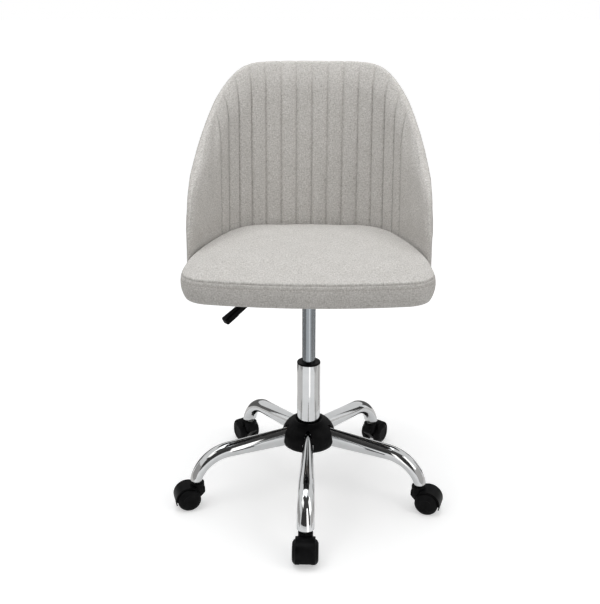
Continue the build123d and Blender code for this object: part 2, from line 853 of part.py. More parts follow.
def seat_cushion():
    """Boxed edge turned under the board, a seam round its top, a crowned top, a pocket for the board."""
    lip_z = board_bottom - seat_lip
    levels = 6
    band = []
    for step in range(levels):
        share = step / (levels - 1)
        draw = seat_foot_draw * (1 - share) ** seat_foot_curve + seat_seam_draw * share**seat_seam_curve
        band.append(seat_level(lip_z + share * (seam_z - lip_z), draw))
    crown = []
    for share in (0, 0.05, 0.12, 0.25, 0.5, 1):
        height = crown_z - crown_rise * (1 - share) ** crown_curve
        crown.append(seat_level(height, seat_seam_draw + share * (crown_inset - seat_seam_draw)))
    pocket = extrude(seat_level(lip_z, board_inset - foam_gap), board_top - lip_z + press_gap)
    cushion = loft(band) + loft(crown) - pocket
    for side in (-1, 1):
        cushion = cushion - bracket_foot(side, foam_gap)
    return cushion


def seat_board():
    board = extrude(seat_level(board_bottom, board_inset), board_thickness)
    for x, y in seat_bolt_points():
        barrel = rod(tee_barrel_diameter / 2 + press_gap, board_bottom - 1, board_top)
        flange = rod(tee_flange_diameter / 2 + hole_clearance, board_top - tee_flange_height, board_top + 1)
        board = board - Pos(x, y, 0) * (barrel + flange)
    return board


def dust_cover():
    sheet = extrude(seat_level(plate_top, dust_inset), dust_thickness)
    hole = rod(bolt_diameter / 2 + hole_clearance, plate_top - 1, board_bottom + 1)
    for x, y in seat_bolt_points():
        sheet = sheet - Pos(x, y, 0) * hole
    return sheet


def tee_nut():
    """Tee nut let into the top of the board."""
    bore = bolt_diameter / 2 + press_gap
    flange_bottom = board_top - tee_flange_height
    return turned(
        [
            (bore, flange_bottom - tee_barrel_height),
            (tee_barrel_diameter / 2, flange_bottom - tee_barrel_height),
            (tee_barrel_diameter / 2, flange_bottom),
            (tee_flange_diameter / 2, flange_bottom),
            (tee_flange_diameter / 2, board_top),
            (bore, board_top),
        ]
    )


def flange_bolt(seat_z):
    """Hexagon flange bolt driven up from seat_z into a tee nut."""
    head_top = seat_z - bolt_flange_height
    hexagon = RegularPolygon(bolt_head_width / 2, 6, major_radius=False)
    head = extrude(Pos(0, 0, head_top) * hexagon, -bolt_head_height)
    flange = rod(bolt_flange_diameter / 2, head_top, seat_z)
    return head + flange + rod(bolt_diameter / 2, seat_z, board_top - 1)


def seat_bolts():
    return [Pos(x, y, 0) * flange_bolt(plate_bottom) for x, y in seat_bolt_points()[:4]]


def bracket_bolts():
    return [Pos(x, y, 0) * flange_bolt(plate_top - bracket_thickness) for x, y in seat_bolt_points()[4:]]


def tee_nuts():
    return [Pos(x, y, 0) * tee_nut() for x, y in seat_bolt_points()]


# Back, leaning as it rises


def leaned(face, bottom, top):
    """A plan outline drawn up along the back's lean, true to size at the back's bottom edge."""
    start = Pos(0, lean * (bottom - back_bottom), bottom) * face
    return Solid.extrude(start.face(), Vector(0, lean, 1) * (top - bottom))


def rim_height(along):
    """Height of the rim: level round the back, falling along the wings, rounded off at their front."""
    past_corner = rim_corner_blend * math.log(1 + math.exp((abs(along) - rim_corner) / rim_corner_blend))
    past_wing = (abs(along) - wing_length + wing_corner) / wing_corner_blend
    past_wing = wing_corner_blend * math.log(1 + math.exp(past_wing))
    return back_top - rim_slope * past_corner - wing_corner_slope * past_wing


def inner_place(along):
    """Plan point of the inner face, this far round from the middle of the back, and its outward direction."""
    length = abs(along)
    if length <= crown_length:
        turn = length / inner_crown_radius
        point = crown_centre + heading(turn) * inner_crown_radius
    elif length <= crown_length + shoulder_length:
        turn = crown_turn + (length - crown_length) / inner_shoulder_radius
        point = shoulder_centre + heading(turn) * inner_shoulder_radius
    else:
        turn = shoulder_turn + (length - crown_length - shoulder_length) / inner_side_radius
        point = side_centre + heading(turn) * inner_side_radius
    side = math.copysign(1, along)
    outward = heading(turn)
    return Vector(side * point.X, point.Y), Vector(side * outward.X, outward.Y)


def wall_depth(along):
    """Thickness of the jacket square to its inner face, even round the back and closing along the wings."""
    if abs(along) <= crown_length + shoulder_length:
        return wall_thickness
    point, outward = inner_place(abs(along))
    offset = point - outer_side_centre
    near = offset.dot(outward)
    return math.sqrt(near**2 - offset.dot(offset) + outer_side_radius**2) - near


def wall_section(along):
    """Upright face across the jacket: straight inside, rolled outwards to a round tip, straight outside."""
    point, outward = inner_place(along)
    past_nose = max(0, (abs(along) - wing_length) / wing_nose + 1)
    narrow = math.sqrt(1 - wing_nose_close * past_nose**2)
    start = wall_depth(along) * (1 - narrow) / 2
    depth = wall_depth(along) * narrow
    tip = min(rim_tip_radius, rim_tip_share * depth)
    rim = rim_height(along)
    roll = (depth + (rim_roll - tip) ** 2 / (depth - 2 * tip)) / 2
    roll_centre = Vector(roll, rim - rim_roll)
    tip_centre = Vector(depth - tip, rim - tip)
    join = tip_centre - roll_centre
    join_turn = math.atan2(join.Y, join.X)

    def place(local):
        plan = point + outward * (start + local.X)
        return Vector(plan.X, plan.Y + lean * (local.Y - back_bottom), local.Y)

    def on_arc(centre, radius, turn):
        return place(centre + Vector(math.cos(turn), math.sin(turn)) * radius)

    foot_in = place(Vector(0, back_bottom))
    foot_out = place(Vector(depth, back_bottom))
    roll_foot = on_arc(roll_centre, roll, math.pi)
    roll_middle = on_arc(roll_centre, roll, (math.pi + join_turn) / 2)
    roll_top = on_arc(roll_centre, roll, join_turn)
    tip_top = on_arc(tip_centre, tip, join_turn / 2)
    tip_out = on_arc(tip_centre, tip, 0)
    return make_face(
        [
            Line(foot_in, roll_foot),
            ThreePointArc(roll_foot, roll_middle, roll_top),
            ThreePointArc(roll_top, tip_top, tip_out),
            Line(tip_out, foot_out),
            Line(foot_out, foot_in),
        ]
    )


def above_rim(margin):
    """Everything above a line that runs this far under the rim, with the cut square across the wall."""
    steps = 48
    curves = []
    for reach in (-wall_thickness, 2 * wall_thickness):
        points = []
        for step in range(steps + 1):
            along = (wing_length - wing_corner) * (2 * step / steps - 1)
            height = rim_height(along) - margin
            point, outward = inner_place(along)
            plan = point + outward * reach
            points.append((plan.X, plan.Y + lean * (height - back_bottom), height))
        curves.append(Edge.make_spline(points, parameters=[step / steps for step in range(steps + 1)]))
    cut = Face.make_surface_from_curves(curves[0], curves[1])
    return Solid.extrude(cut, Vector(0, lean, 1) * 4 * back_height)


def shell_solid(grow):
    """The bent plywood shell, grown by a clearance for its pocket."""
    inside = inner_foam - grow
    outside = inner_foam + shell_thickness + grow
    end_turn = math.acos((shell_front - grow - side_centre.Y) / inner_side_radius)
    faces = [tub_curve(offset, end_turn) for offset in (inside, outside)]
    ends = [Line(faces[0][edge] @ 1, faces[1][edge] @ 1) for edge in (2, 4)]
    plan = make_face(faces[0] + faces[1] + ends)
    return leaned(plan, back_bottom - grow, back_top) - above_rim(shell_margin - grow)


def bracket_frame(side):
    """Turns a plan drawn about the crown's centre to one bracket's place."""
    return Pos(0, crown_centre.Y, 0) * Rot(0, 0, -side * bracket_angle)


def screw_planes(side):
    """On the bracket's outer face, square to it."""
    turn = math.radians(side * bracket_angle)
    outward = Vector(math.sin(turn), math.cos(turn), -lean * math.cos(turn))
    planes = []
    for step in range(2):
        z = plate_top + bracket_screw_low + step * bracket_screw_pitch
        y = crown_centre.Y + bracket_heel * math.cos(turn) + lean * (z - back_bottom)
        planes.append(Plane(origin=(bracket_heel * math.sin(turn), y, z), z_dir=outward))
    return planes


def screw_holes(side, clearance):
    depth = 2 * (bracket_thickness + shell_thickness)
    return [plane * Cylinder(screw_diameter / 2 + clearance, depth) for plane in screw_planes(side)]


def bracket_upright(side, width, inner_reach, outer_reach, top):
    """The part of a bracket, or of its pocket, that runs up behind the shell."""
    depth = outer_reach - inner_reach
    plan = bracket_frame(side) * Pos(0, (inner_reach + outer_reach) / 2, 0) * Rectangle(width, depth)
    return leaned(plan, plate_top - bracket_thickness, top)


def bracket_foot(side, grow):
    """The part of a bracket that runs under the seat, grown by a clearance for its notch in the cushion."""
    low_heel = bracket_heel - lean * (back_bottom - plate_top + bracket_thickness)
    foot = Pos(0, low_heel - bracket_length / 2, plate_top - bracket_thickness / 2)
    bar = Box(bracket_width + 2 * grow, bracket_length, bracket_thickness + 2 * grow)
    return bracket_frame(side) * foot * bar


def back_bracket(side):
    """Steel angle bolted under the seat and screwed to the shell."""
    face = shell_radius + press_gap
    upright = bracket_upright(side, bracket_width, face, bracket_heel, plate_top + bracket_height)
    bracket = upright + bracket_foot(side, 0)
    first = 4 if side < 0 else 6
    bolt_hole = Cylinder(bolt_diameter / 2 + hole_clearance, 4 * bracket_thickness)
    for x, y in seat_bolt_points()[first : first + 2]:
        bracket = bracket - Pos(x, y, plate_top) * bolt_hole
    for hole in screw_holes(side, hole_clearance):
        bracket = bracket - hole
    return bracket


def back_shell():
    shell = shell_solid(0)
    for side in (-1, 1):
        for hole in screw_holes(side, press_gap):
            shell = shell - hole
    return shell


def back_screws():
    head = screw_head_diameter / 2
    shank = screw_diameter / 2
    tip = -(bracket_thickness + shell_thickness - 1)
    screw = rod(head, 0, screw_head_height)
    screw = fillet(screw.edges().group_by(Axis.Z)[-1], screw_head_height * 0.7) + rod(shank, tip, 0)
    return [plane * screw for side in (-1, 1) for plane in screw_planes(side)]


def seam_cutter(point, outward):
    """Cusped groove whose sides run out flat into the channels."""
    along = outward.cross(Vector(0, 0, 1))
    deep = point + outward * seam_depth
    left = point - along * seam_width / 2
    right = point + along * seam_width / 2
    clear = outward * -seam_depth
    left_curve = ThreePointArc(left, (left + deep) * 0.5 - outward * seam_depth * 0.2, deep)
    right_curve = ThreePointArc(deep, (right + deep) * 0.5 - outward * seam_depth * 0.2, right)
    rest = Polyline(right, right + clear, left + clear, left)
    face = make_face([left_curve, right_curve, rest])
    return leaned(face, back_bottom - seam_width, back_top + seam_width)


def jacket_stations():
    """Places of the jacket's sections, closer together at the wings' front."""
    spans = 9
    body_length = wing_length - 2 * wing_corner
    stations = [body_length * step / spans for step in range(spans + 1)]
    stations += [wing_length - share * wing_corner for share in (1.4, 0.9, 0.45, 0.2, 0.08, 0)]
    return [-station for station in reversed(stations[1:])] + stations


def back_jacket():
    """Foam and fabric jacket over the shell: rolled rim, sewn channels inside, pockets open at the bottom."""
    wall = loft([wall_section(along) for along in jacket_stations()])
    wall = wall - shell_solid(foam_gap)
    for side in (-1, 1):
        outer = shell_radius + bracket_thickness + screw_head_height + foam_gap
        width = bracket_width + 2 * foam_gap
        wall = wall - bracket_upright(side, width, shell_radius, outer, plate_top + bracket_height + foam_gap)
    for index in range(-seam_count, seam_count + 1):
        wall = wall - seam_cutter(*inner_place(index * seam_pitch))
    return wall


def save(name, shape):
    """One file per piece. A list is a group of separate solids."""
    whole = Compound(shape) if isinstance(shape, list) else shape
    export_step(whole, f"parts/{name}.step")


def main():
    os.makedirs("parts", exist_ok=True)
    save("base_hub", hub())
    save("hub_cover", hub_cover())
    base_leg = leg()
    socket = caster_socket()
    stem = caster_stem()
    body = caster_body()
    axle = caster_axle()
    wheels = {"left": caster_wheel(1), "right": caster_wheel(-1)}
    turns = [Rot(0, 0, leg_angle(index)) for index in range(leg_count)]
    for index, turn in enumerate(turns):
        number = index + 1
        save(f"leg_{number}", turn * base_leg)
        save(f"caster_{number}_body", turn * body)
        save(f"caster_{number}_axle", turn * axle)
        for side, wheel in wheels.items():
            save(f"caster_{number}_wheel_{side}", turn * wheel)
    save("caster_sockets", [turn * socket for turn in turns])
    save("caster_stems", [turn * stem for turn in turns])
    save("column_tube", column_tube())
    save("guide_bush", guide_bush())
    save("bearing_lower_race", bearing_race(floor_top, rod_diameter / 2))
    save("bearing_upper_race", bearing_race(upper_race, rod_foot_diameter / 2 + press_gap))
    save("bearing_cage", ball_cage())
    save("bearing_balls", bearing_balls())
    save("bump_stop", bump_stop())
    save("piston_rod", piston_rod())
    save("piston", piston())
    save("rod_clip", rod_clip())
    save("gas_cylinder", gas_cylinder())
    save("cylinder_gland", cylinder_gland())
    save("valve_button", valve_button())
    save("seat_plate", seat_plate())
    save("mechanism_pan", mechanism_pan())
    save("taper_cup", taper_cup())
    save("lever_clevis", lever_clevis())
    save("lever_pin", lever_pin())
    save("lever_bar", lever_bar())
    save("lever_handle", lever_handle())
    save("seat_board", seat_board())
    save("seat_cushion", seat_cushion())
    save("dust_cover", dust_cover())
    save("tee_nuts", tee_nuts())
    save("seat_bolts", seat_bolts())
    save("back_shell", back_shell())
    save("back_bracket_left", back_bracket(-1))
    save("back_bracket_right", back_bracket(1))
    save("bracket_bolts", bracket_bolts())
    save("back_screws", back_screws())
    save("back_jacket", back_jacket())


if __name__ == "__main__":
    main()
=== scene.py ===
import json
import math

import bpy
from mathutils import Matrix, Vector, kdtree, noise

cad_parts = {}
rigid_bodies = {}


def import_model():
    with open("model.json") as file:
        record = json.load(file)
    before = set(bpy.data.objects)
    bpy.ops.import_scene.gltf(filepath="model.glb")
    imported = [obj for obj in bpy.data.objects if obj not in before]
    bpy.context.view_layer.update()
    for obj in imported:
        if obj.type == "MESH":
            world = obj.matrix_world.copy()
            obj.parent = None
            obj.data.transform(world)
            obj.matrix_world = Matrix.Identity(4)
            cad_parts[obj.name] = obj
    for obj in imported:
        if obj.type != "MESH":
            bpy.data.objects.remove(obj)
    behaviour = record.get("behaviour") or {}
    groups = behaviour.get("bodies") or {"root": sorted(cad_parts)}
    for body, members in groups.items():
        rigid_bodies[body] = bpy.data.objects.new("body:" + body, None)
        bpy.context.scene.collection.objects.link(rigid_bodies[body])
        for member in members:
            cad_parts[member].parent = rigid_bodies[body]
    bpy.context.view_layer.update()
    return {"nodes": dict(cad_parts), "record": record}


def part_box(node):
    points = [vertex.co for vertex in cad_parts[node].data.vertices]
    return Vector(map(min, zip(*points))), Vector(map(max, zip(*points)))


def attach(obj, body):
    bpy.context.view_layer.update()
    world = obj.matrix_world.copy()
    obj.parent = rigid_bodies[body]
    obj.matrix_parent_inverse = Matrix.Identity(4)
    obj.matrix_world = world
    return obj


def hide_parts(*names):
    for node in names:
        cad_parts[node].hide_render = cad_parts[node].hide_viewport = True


# Armless swivel task chair. Lengths in the shape functions are millimetres; MM turns them into metres.
MM = 0.001
for thing in list(bpy.data.objects):
    bpy.data.objects.remove(thing)
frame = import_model()
nodes = frame["nodes"]

# Swelling of the pads
voxel = 5.0
seam_hold = 4.0
under_slope = -0.4
pocket_hold = 12.0
foot_hold = 5.0
back_hold = 12.0
swell_frames = 20
near_points = 6
near_softening = 0.5
seat_pressure = 2.2
seat_cap = 5.0
back_pressure = 1.6
back_cap = 3.0

# Seat: outline, boxed edge, stitches and crown
board_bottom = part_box("seat_board")[0].z / MM
board_thickness = 12.0
pocket_gap = 0.05
pocket_inset = 14.5
seat_front = 217.0
seat_front_bow = 1100.0
seat_corner = 62.0
seat_band = 45.0
seat_lip = 4.0
lip_round = 0.6
lip_inner_inset = 13.6
lip_outer_inset = 11.6
band_rows = 25
seat_foot_draw = 8.0
seat_foot_curve = 3.0
seat_seam_draw = 1.7
seat_seam_curve = 5.0
seat_seam_drop = 2.5
seat_bulge = 1.5
stitch_row = 21
stitch_draw = 0.7
stitch_length = 4.2
stitch_gap = 1.6
thread_radius = 0.45
thread_stand = 0.25
thread_sides = 6
thread_girths = ((0.0, 0.3), (0.2, 1.0), (0.8, 1.0), (1.0, 0.3))
crown_rise = 15.0
crown_curve = 3.4
crown_edge = 1.6
crown_start = 2.3
crown_inset = 120.0
crown_corner = 18.0
crown_shares = (0.006, 0.013, 0.023, 0.036, 0.05, 0.07, 0.1, 0.14, 0.19)
crown_shares += (0.25, 0.32, 0.4, 0.49, 0.59, 0.7, 0.82, 0.92, 1.0)
lid_rings = 7
seam_groove_inset = 2.6
seam_lower_inset = 1.9
seam_lower_gap = 0.6
seam_upper_inset = 2.1
seam_upper_gap = 0.7
side_lift = 6.0
lift_front = -170.0
lift_rear = -60.0
lift_middle = 60.0
lift_side = 150.0
lump_start = 6.0
lump_blend = 30.0
outline_level = 12
seat_middle = -20.0
wing_front = -150.0
wing_cover = -100.0
back_clearance = 1.5
lip_z = board_bottom - seat_lip
seam_z = board_bottom + seat_band
crown_z = seam_z + crown_rise

# Back, its lengths along the inner face taken from the middle of the back
back_height = 398.5
recline = 60.0
inner_depth = 213.0
inner_crown_radius = 390.0
inner_shoulder_radius = 143.0
inner_side_radius = 775.0
outer_side_radius = 455.0
wall_thickness = 27.0
rim_roll = 65.0
rim_tip_radius = 8.0
rim_tip_share = 0.4
rim_corner = 148.0
rim_corner_blend = 15.0
rim_slope = 0.985
wing_length = 412.0
wing_corner = 16.0
wing_corner_blend = 4.0
wing_corner_slope = 3.5
wing_nose = 7.0
wing_steps = 12
nose_steps = 8
nose_end = math.radians(86)
foot_radius = 2.5
foot_share = 0.2
inner_rows = 34
roll_rows = 22
tip_rows = 12
outer_rows = 40
seam_count = 7
seam_pitch = 34.0
seam_reach = 10.5
seam_depth = 5.2
seam_offsets = (0.0, 0.5, 1.1, 1.9, 3.0, 4.6, 6.8, 9.6, 13.2)
rim_seam_share = 0.4
sewn_share = 0.3
seat_fade = 40.0
back_lump = 0.5
weave_wrap = 120.0
back_bottom = board_bottom + back_clearance
back_top = back_bottom + back_height
lean = recline / back_height

# Seams towards the sides, counted from the middle of the back: tighter, puffed between, and darkened in the
# fold by painted shade
tight_from = 2
tight_to = 5
tight_seam_reach = 5.5
channel_puff = 3.2
crease_shade_from = 4
crease_shade_reach = 2.0
crease_shade_strength = 0.6

# Seam across the plain outside, below the rim
rear_seam_drop = 22.0
rear_seam_reach = 4.0
rear_seam_depth = 1.5


def heading(turn):
    """Plan direction, turned in radians from straight back towards +X."""
    return Vector((math.sin(turn), math.cos(turn)))


crown_turn = math.radians(12.0)
shoulder_turn = math.radians(67.5)
crown_length = inner_crown_radius * crown_turn
shoulder_length = inner_shoulder_radius * (shoulder_turn - crown_turn)
crown_centre = Vector((0, inner_depth - inner_crown_radius))
shoulder_centre = crown_centre + heading(crown_turn) * (inner_crown_radius - inner_shoulder_radius)
side_centre = shoulder_centre + heading(shoulder_turn) * (inner_shoulder_radius - inner_side_radius)
outer_side_offset = inner_shoulder_radius + wall_thickness - outer_side_radius
outer_side_centre = shoulder_centre + heading(shoulder_turn) * outer_side_offset


# Mesh helpers


def mesh_piece(name, points, faces, weave=None):
    """A smooth mesh in metres from points in millimetres, with the weave's coordinates per face corner."""
    mesh = bpy.data.meshes.new(name)
    mesh.from_pydata([Vector(p) * MM for p in points], [], faces)
    if weave is not None:
        layer = mesh.uv_layers.new(name="weave")
        values = [c for face in weave for corner in face for c in (corner[0] * MM, corner[1] * MM)]
        layer.data.foreach_set("uv", values)
    mesh.polygons.foreach_set("use_smooth", [True] * len(mesh.polygons))
    mesh.update()
    piece = bpy.data.objects.new(name, mesh)
    bpy.context.scene.collection.objects.link(piece)
    return piece


def grid_faces(rows, columns, close=False):
    """Quads between rows of points, each row having the same number of columns."""
    faces = []
    last = columns if close else columns - 1
    for r in range(rows - 1):
        for c in range(last):
            n = (c + 1) % columns
            faces.append((r * columns + c, r * columns + n, (r + 1) * columns + n, (r + 1) * columns + c))
    return faces


def lumps(point, size, seed):
    """Slow unevenness of stuffed cloth, from -1 to 1."""
    return noise.noise(Vector((point[0] / size + seed, point[1] / size, point[2] / size)))


def eased(low, high, value):
    """Smooth step from 0 at low to 1 at high."""
    share = min(1.0, max(0.0, (value - low) / (high - low)))
    return share * share * (3 - 2 * share)


# Stuffing: a coarse copy of each pad swells as cloth, held where it is sewn or rests on something


def tree_of(points):
    tree = kdtree.KDTree(len(points))
    for index, point in enumerate(points):
        tree.insert(point, index)
    tree.balance()
    return tree


def swollen(piece, seams, rests, room, pressure, cap):
    """Moves the pad's points with its swelling copy, as far as the room and the cap allow."""
    scene = bpy.context.scene
    copy = bpy.data.objects.new(piece.name + "_copy", piece.data.copy())
    scene.collection.objects.link(copy)
    remesh = copy.modifiers.new("voxels", "REMESH")
    remesh.mode = "VOXEL"
    remesh.voxel_size = voxel * MM
    coarse = bpy.data.meshes.new_from_object(copy.evaluated_get(bpy.context.evaluated_depsgraph_get()))
    copy.modifiers.clear()
    copy.data = coarse
    before = [vertex.co.copy() for vertex in coarse.vertices]
    sewn = tree_of([Vector(p) * MM for p in seams])
    held = copy.vertex_groups.new(name="held")
    for vertex in coarse.vertices:
        far = sewn.find(vertex.co)[2] / MM
        weight = max(1.0 - eased(seam_hold, 2 * seam_hold, far), rests(vertex.co / MM, vertex.normal))
        if weight > 0:
            held.add([vertex.index], weight, "REPLACE")
    cloth = copy.modifiers.new("stuffing", "CLOTH")
    cloth.settings.quality = 5
    cloth.settings.use_pressure = True
    cloth.settings.uniform_pressure_force = pressure
    cloth.settings.vertex_group_mass = "held"
    cloth.settings.effector_weights.gravity = 0
    cloth.point_cache.frame_start = 1
    cloth.point_cache.frame_end = swell_frames
    for step in range(1, swell_frames + 1):
        scene.frame_set(step)
    after = copy.evaluated_get(bpy.context.evaluated_depsgraph_get()).data.vertices
    moves = [vertex.co - start for vertex, start in zip(after, before)]
    near = tree_of(before)
    for vertex in piece.data.vertices:
        total = Vector((0, 0, 0))
        weights = 0.0
        for _, index, gap in near.find_n(vertex.co, near_points):
            weight = 1 / (gap + near_softening * MM) ** 2
            total += moves[index] * weight
            weights += weight
        move = total / weights
        if move.length > cap * MM:
            move *= cap * MM / move.length
        flat, up = room(vertex.co / MM)
        vertex.co += Vector((move.x * flat, move.y * flat, move.z * up))
    scene.frame_set(1)
    bpy.data.objects.remove(copy)
    piece.data.update()


# Seat cushion


def circles_meet(first, first_radius, second, second_radius):
    """Meeting point of two circles in plan, to the right of the line between their centres."""
    gap = second - first
    along = (gap.length**2 + first_radius**2 - second_radius**2) / (2 * gap.length)
    unit = gap.normalized()
    return first + unit * along + Vector((unit.y, -unit.x)) * math.sqrt(first_radius**2 - along**2)


def turn_of(direction):
    return math.atan2(direction.x, direction.y)


def seat_ring(inset):
    """The cushion's outline drawn inwards, from the front middle round, always with as many points."""
    offset = -back_clearance - inset
    side_radius = inner_side_radius + offset
    bow_radius = seat_front_bow - inset
    bow_centre = Vector((0, seat_front_bow - seat_front))
    corner = max(seat_corner - inset, crown_corner)
    corner_centre = circles_meet(side_centre, side_radius - corner, bow_centre, bow_radius - corner)
    side_turn = turn_of(corner_centre - side_centre)
    bow_turn = turn_of(corner_centre - bow_centre)
    arcs = (
        (bow_centre, bow_radius, math.pi, bow_turn, 30),
        (corner_centre, corner, bow_turn, side_turn, 22),
        (side_centre, side_radius, side_turn, shoulder_turn, 36),
        (shoulder_centre, inner_shoulder_radius + offset, shoulder_turn, crown_turn, 24),
        (crown_centre, inner_crown_radius + offset, crown_turn, 0.0, 12),
    )
    right = []
    for centre, radius, start, end, count in arcs:
        right += [centre + heading(start + (end - start) * step / count) * radius for step in range(count)]
    rear = Vector((0, inner_depth + offset))
    return right + [rear] + [Vector((-p.x, p.y)) for p in reversed(right[1:])]


def seat_levels():
    """Inset, height and kind from the underside's middle, round the boxed edge, to the top's middle."""
    pocket_top = board_bottom + board_thickness + pocket_gap
    levels = [(crown_inset, pocket_top, "under"), (pocket_inset, pocket_top, "under")]
    levels.append((pocket_inset, lip_z + lip_round, "under"))
    levels.append((lip_inner_inset, lip_z + pocket_gap, "under"))
    levels.append((lip_outer_inset, lip_z, "band"))
    sewn_z = seam_z - seat_seam_drop
    for step in range(1, band_rows):
        share = step / band_rows
        draw = seat_foot_draw * (1 - share) ** seat_foot_curve + seat_seam_draw * share**seat_seam_curve
        draw += stitch_draw if step == stitch_row else 0.0
        levels.append((draw, lip_z + share * (sewn_z - lip_z), "band"))
    levels.append((seam_lower_inset, sewn_z - seam_lower_gap, "band"))
    levels.append((seam_groove_inset, sewn_z, "top"))
    levels.append((seam_upper_inset, sewn_z + seam_upper_gap, "top"))
    for share in crown_shares:
        height = seam_z + crown_rise * (1 - (1 - share) ** crown_curve) ** (1 / crown_edge)
        levels.append((crown_start + share * (crown_inset - crown_start), height, "top"))
    return levels


def edge_lift(x, y, inset):
    """How much higher the pad's edge is pressed up between the wings than at its front and rear middle."""
    aside = eased(lift_middle, lift_side, abs(x))
    return side_lift * eased(lift_front, lift_rear, y) * aside * max(0.0, 1 - inset / crown_inset) ** 2


def in_front(y):
    """1 in front of the wings, 0 between them."""
    return 1 - eased(wing_front, wing_cover, y)


def seat_lump(x, y):
    """Broad and small lumps of the seat's top."""
    return 1.0 * lumps((x, y, 0), size=85, seed=3.0) + 0.45 * lumps((x, y, 0), size=32, seed=8.0)


def seat_cushion():
    """Boxed edge that bulges between its turned-under foot and its sewn seam, and a crowned top."""
    levels = seat_levels()
    rings = [seat_ring(inset) for inset, _, _ in levels]
    kinds = [kind for _, _, kind in levels]
    columns = len(rings[0])
    outline = rings[outline_level]
    around = [0.0]
    for c in range(columns):
        around.append(around[-1] + (outline[(c + 1) % columns] - outline[c]).length)
    points = []
    for ring, (inset, z, kind) in zip(rings, levels):
        for place in ring:
            x, y = place
            height = z
            if kind == "top":
                calm = min(1.0, max(0.0, inset - lump_start) / lump_blend)
                height += edge_lift(x, y, inset) + calm * seat_lump(x, y)
            elif kind == "band":
                height += edge_lift(x, y, inset) * (z - lip_z) / (seam_z - lip_z)
                swell = 4 * (z - lip_z) * (seam_z - z) / (seam_z - lip_z) ** 2
                push = 0.7 * lumps((x, y, 0), size=55, seed=5.0) + 0.4 * lumps((x, y, z), size=22, seed=1.0)
                push = swell * (push + seat_bulge * in_front(y))
                x += push * x / place.length
                y += push * y / place.length
            points.append((x, y, height))
    faces = grid_faces(len(rings), columns, close=True)
    weave = []
    for index, face in enumerate(faces):
        row, c = divmod(index, columns)
        if kinds[row] == "band":
            up = [levels[row][1], levels[row][1], levels[row + 1][1], levels[row + 1][1]]
            side = [around[c], around[c + 1], around[c + 1], around[c]]
            weave.append(list(zip(side, up)))
        else:
            weave.append([points[i][:2] for i in face])
    for edge, under in ((0, True), (len(rings) - 1, False)):
        previous = list(range(edge * columns, (edge + 1) * columns))
        ring = [points[i] for i in previous]
        low = levels[edge][1]
        middle = sum(p[1] for p in ring) / columns
        shrink = [1 - step / lid_rings for step in range(1, lid_rings)]
        for share in shrink + [0.0]:
            start = len(points)
            outer = ring if share else ring[:1]
            spots = [(p[0] * share, middle + (p[1] - middle) * share) for p in outer]
            points += [(x, y, low if under else low + seat_lump(x, y)) for x, y in spots]
            current = list(range(start, start + len(spots)))
            for c in range(columns):
                n = (c + 1) % columns
                inner = (current[n], current[c]) if share else (start,)
                face = (previous[c], previous[n]) + inner
                faces.append(face[::-1] if under else face)
                weave.append([points[i][:2] for i in faces[-1]])
            previous = current
    piece = mesh_piece("seat_upholstery", points, faces, weave)
    sewn = [inset for inset, _, _ in levels].index(seam_groove_inset) * columns
    stitched = (kinds.index("band") + stitch_row) * columns
    return piece, points[sewn : sewn + columns], range(stitched, stitched + columns)


def stitches(piece, row):
    """Threads laid end to end along a row of the pad's points."""
    path = [piece.data.vertices[index].co / MM for index in row]
    path.append(path[0])
    ends = []
    travelled = 0.0
    wanted = 0.0
    for start, end in zip(path, path[1:]):
        length = (end - start).length
        while wanted < travelled + length:
            ends.append(start + (end - start) * ((wanted - travelled) / length))
            wanted += stitch_gap if len(ends) % 2 == 0 else stitch_length
        travelled += length
    points = []
    faces = []
    for start, end in zip(ends[0::2], ends[1::2]):
        along = (end - start).normalized()
        out = Vector((along.y, -along.x, 0)).normalized()
        up = along.cross(out)
        first = len(points)
        for share, girth in thread_girths:
            spot = start + (end - start) * share + out * thread_stand * girth
            for step in range(thread_sides):
                turn = 2 * math.pi * step / thread_sides
                points.append(spot + (out * math.cos(turn) + up * math.sin(turn)) * thread_radius * girth)
        sides = grid_faces(len(thread_girths), thread_sides, close=True)
        faces += [tuple(first + i for i in face) for face in sides]
        faces.append(tuple(first + i for i in range(thread_sides - 1, -1, -1)))
        faces.append(tuple(range(len(points) - thread_sides, len(points))))
    return mesh_piece("seat_stitches", points, faces)


def seat_rests(point, normal):
    """1 on the underside, in the board's pocket and along the turned-under foot, which keep their place."""
    underside = normal.z < under_slope
    inward = normal.x * point.x + normal.y * (point.y - seat_middle) < 0
    pocket = inward and point.z < seam_z - pocket_hold
    foot = point.z < lip_z + foot_hold
    return 1.0 if underside or pocket or foot else 0.0


def seat_room(point):
    """The pad swells sideways only in front of the wings."""
    return in_front(point.y), 1.0


# Back jacket


def rim_height(along):
    """Height of the rim: level round the back, falling along the wings, rounded off at their front."""
    past_corner = rim_corner_blend * math.log(1 + math.exp((abs(along) - rim_corner) / rim_corner_blend))
    past_wing = (abs(along) - wing_length + wing_corner) / wing_corner_blend
    past_wing = wing_corner_blend * math.log(1 + math.exp(past_wing))
    return back_top - rim_slope * past_corner - wing_corner_slope * past_wing


def inner_place(along):
    """Plan point of the inner face, so far round from the middle of the back, and its outward direction."""
    length = abs(along)
    if length <= crown_length:
        turn = length / inner_crown_radius
        point = crown_centre + heading(turn) * inner_crown_radius
    elif length <= crown_length + shoulder_length:
        turn = crown_turn + (length - crown_length) / inner_shoulder_radius
        point = shoulder_centre + heading(turn) * inner_shoulder_radius
    else:
        turn = shoulder_turn + (length - crown_length - shoulder_length) / inner_side_radius
        point = side_centre + heading(turn) * inner_side_radius
    side = math.copysign(1, along)
    outward = heading(turn)
    return Vector((side * point.x, point.y)), Vector((side * outward.x, outward.y))


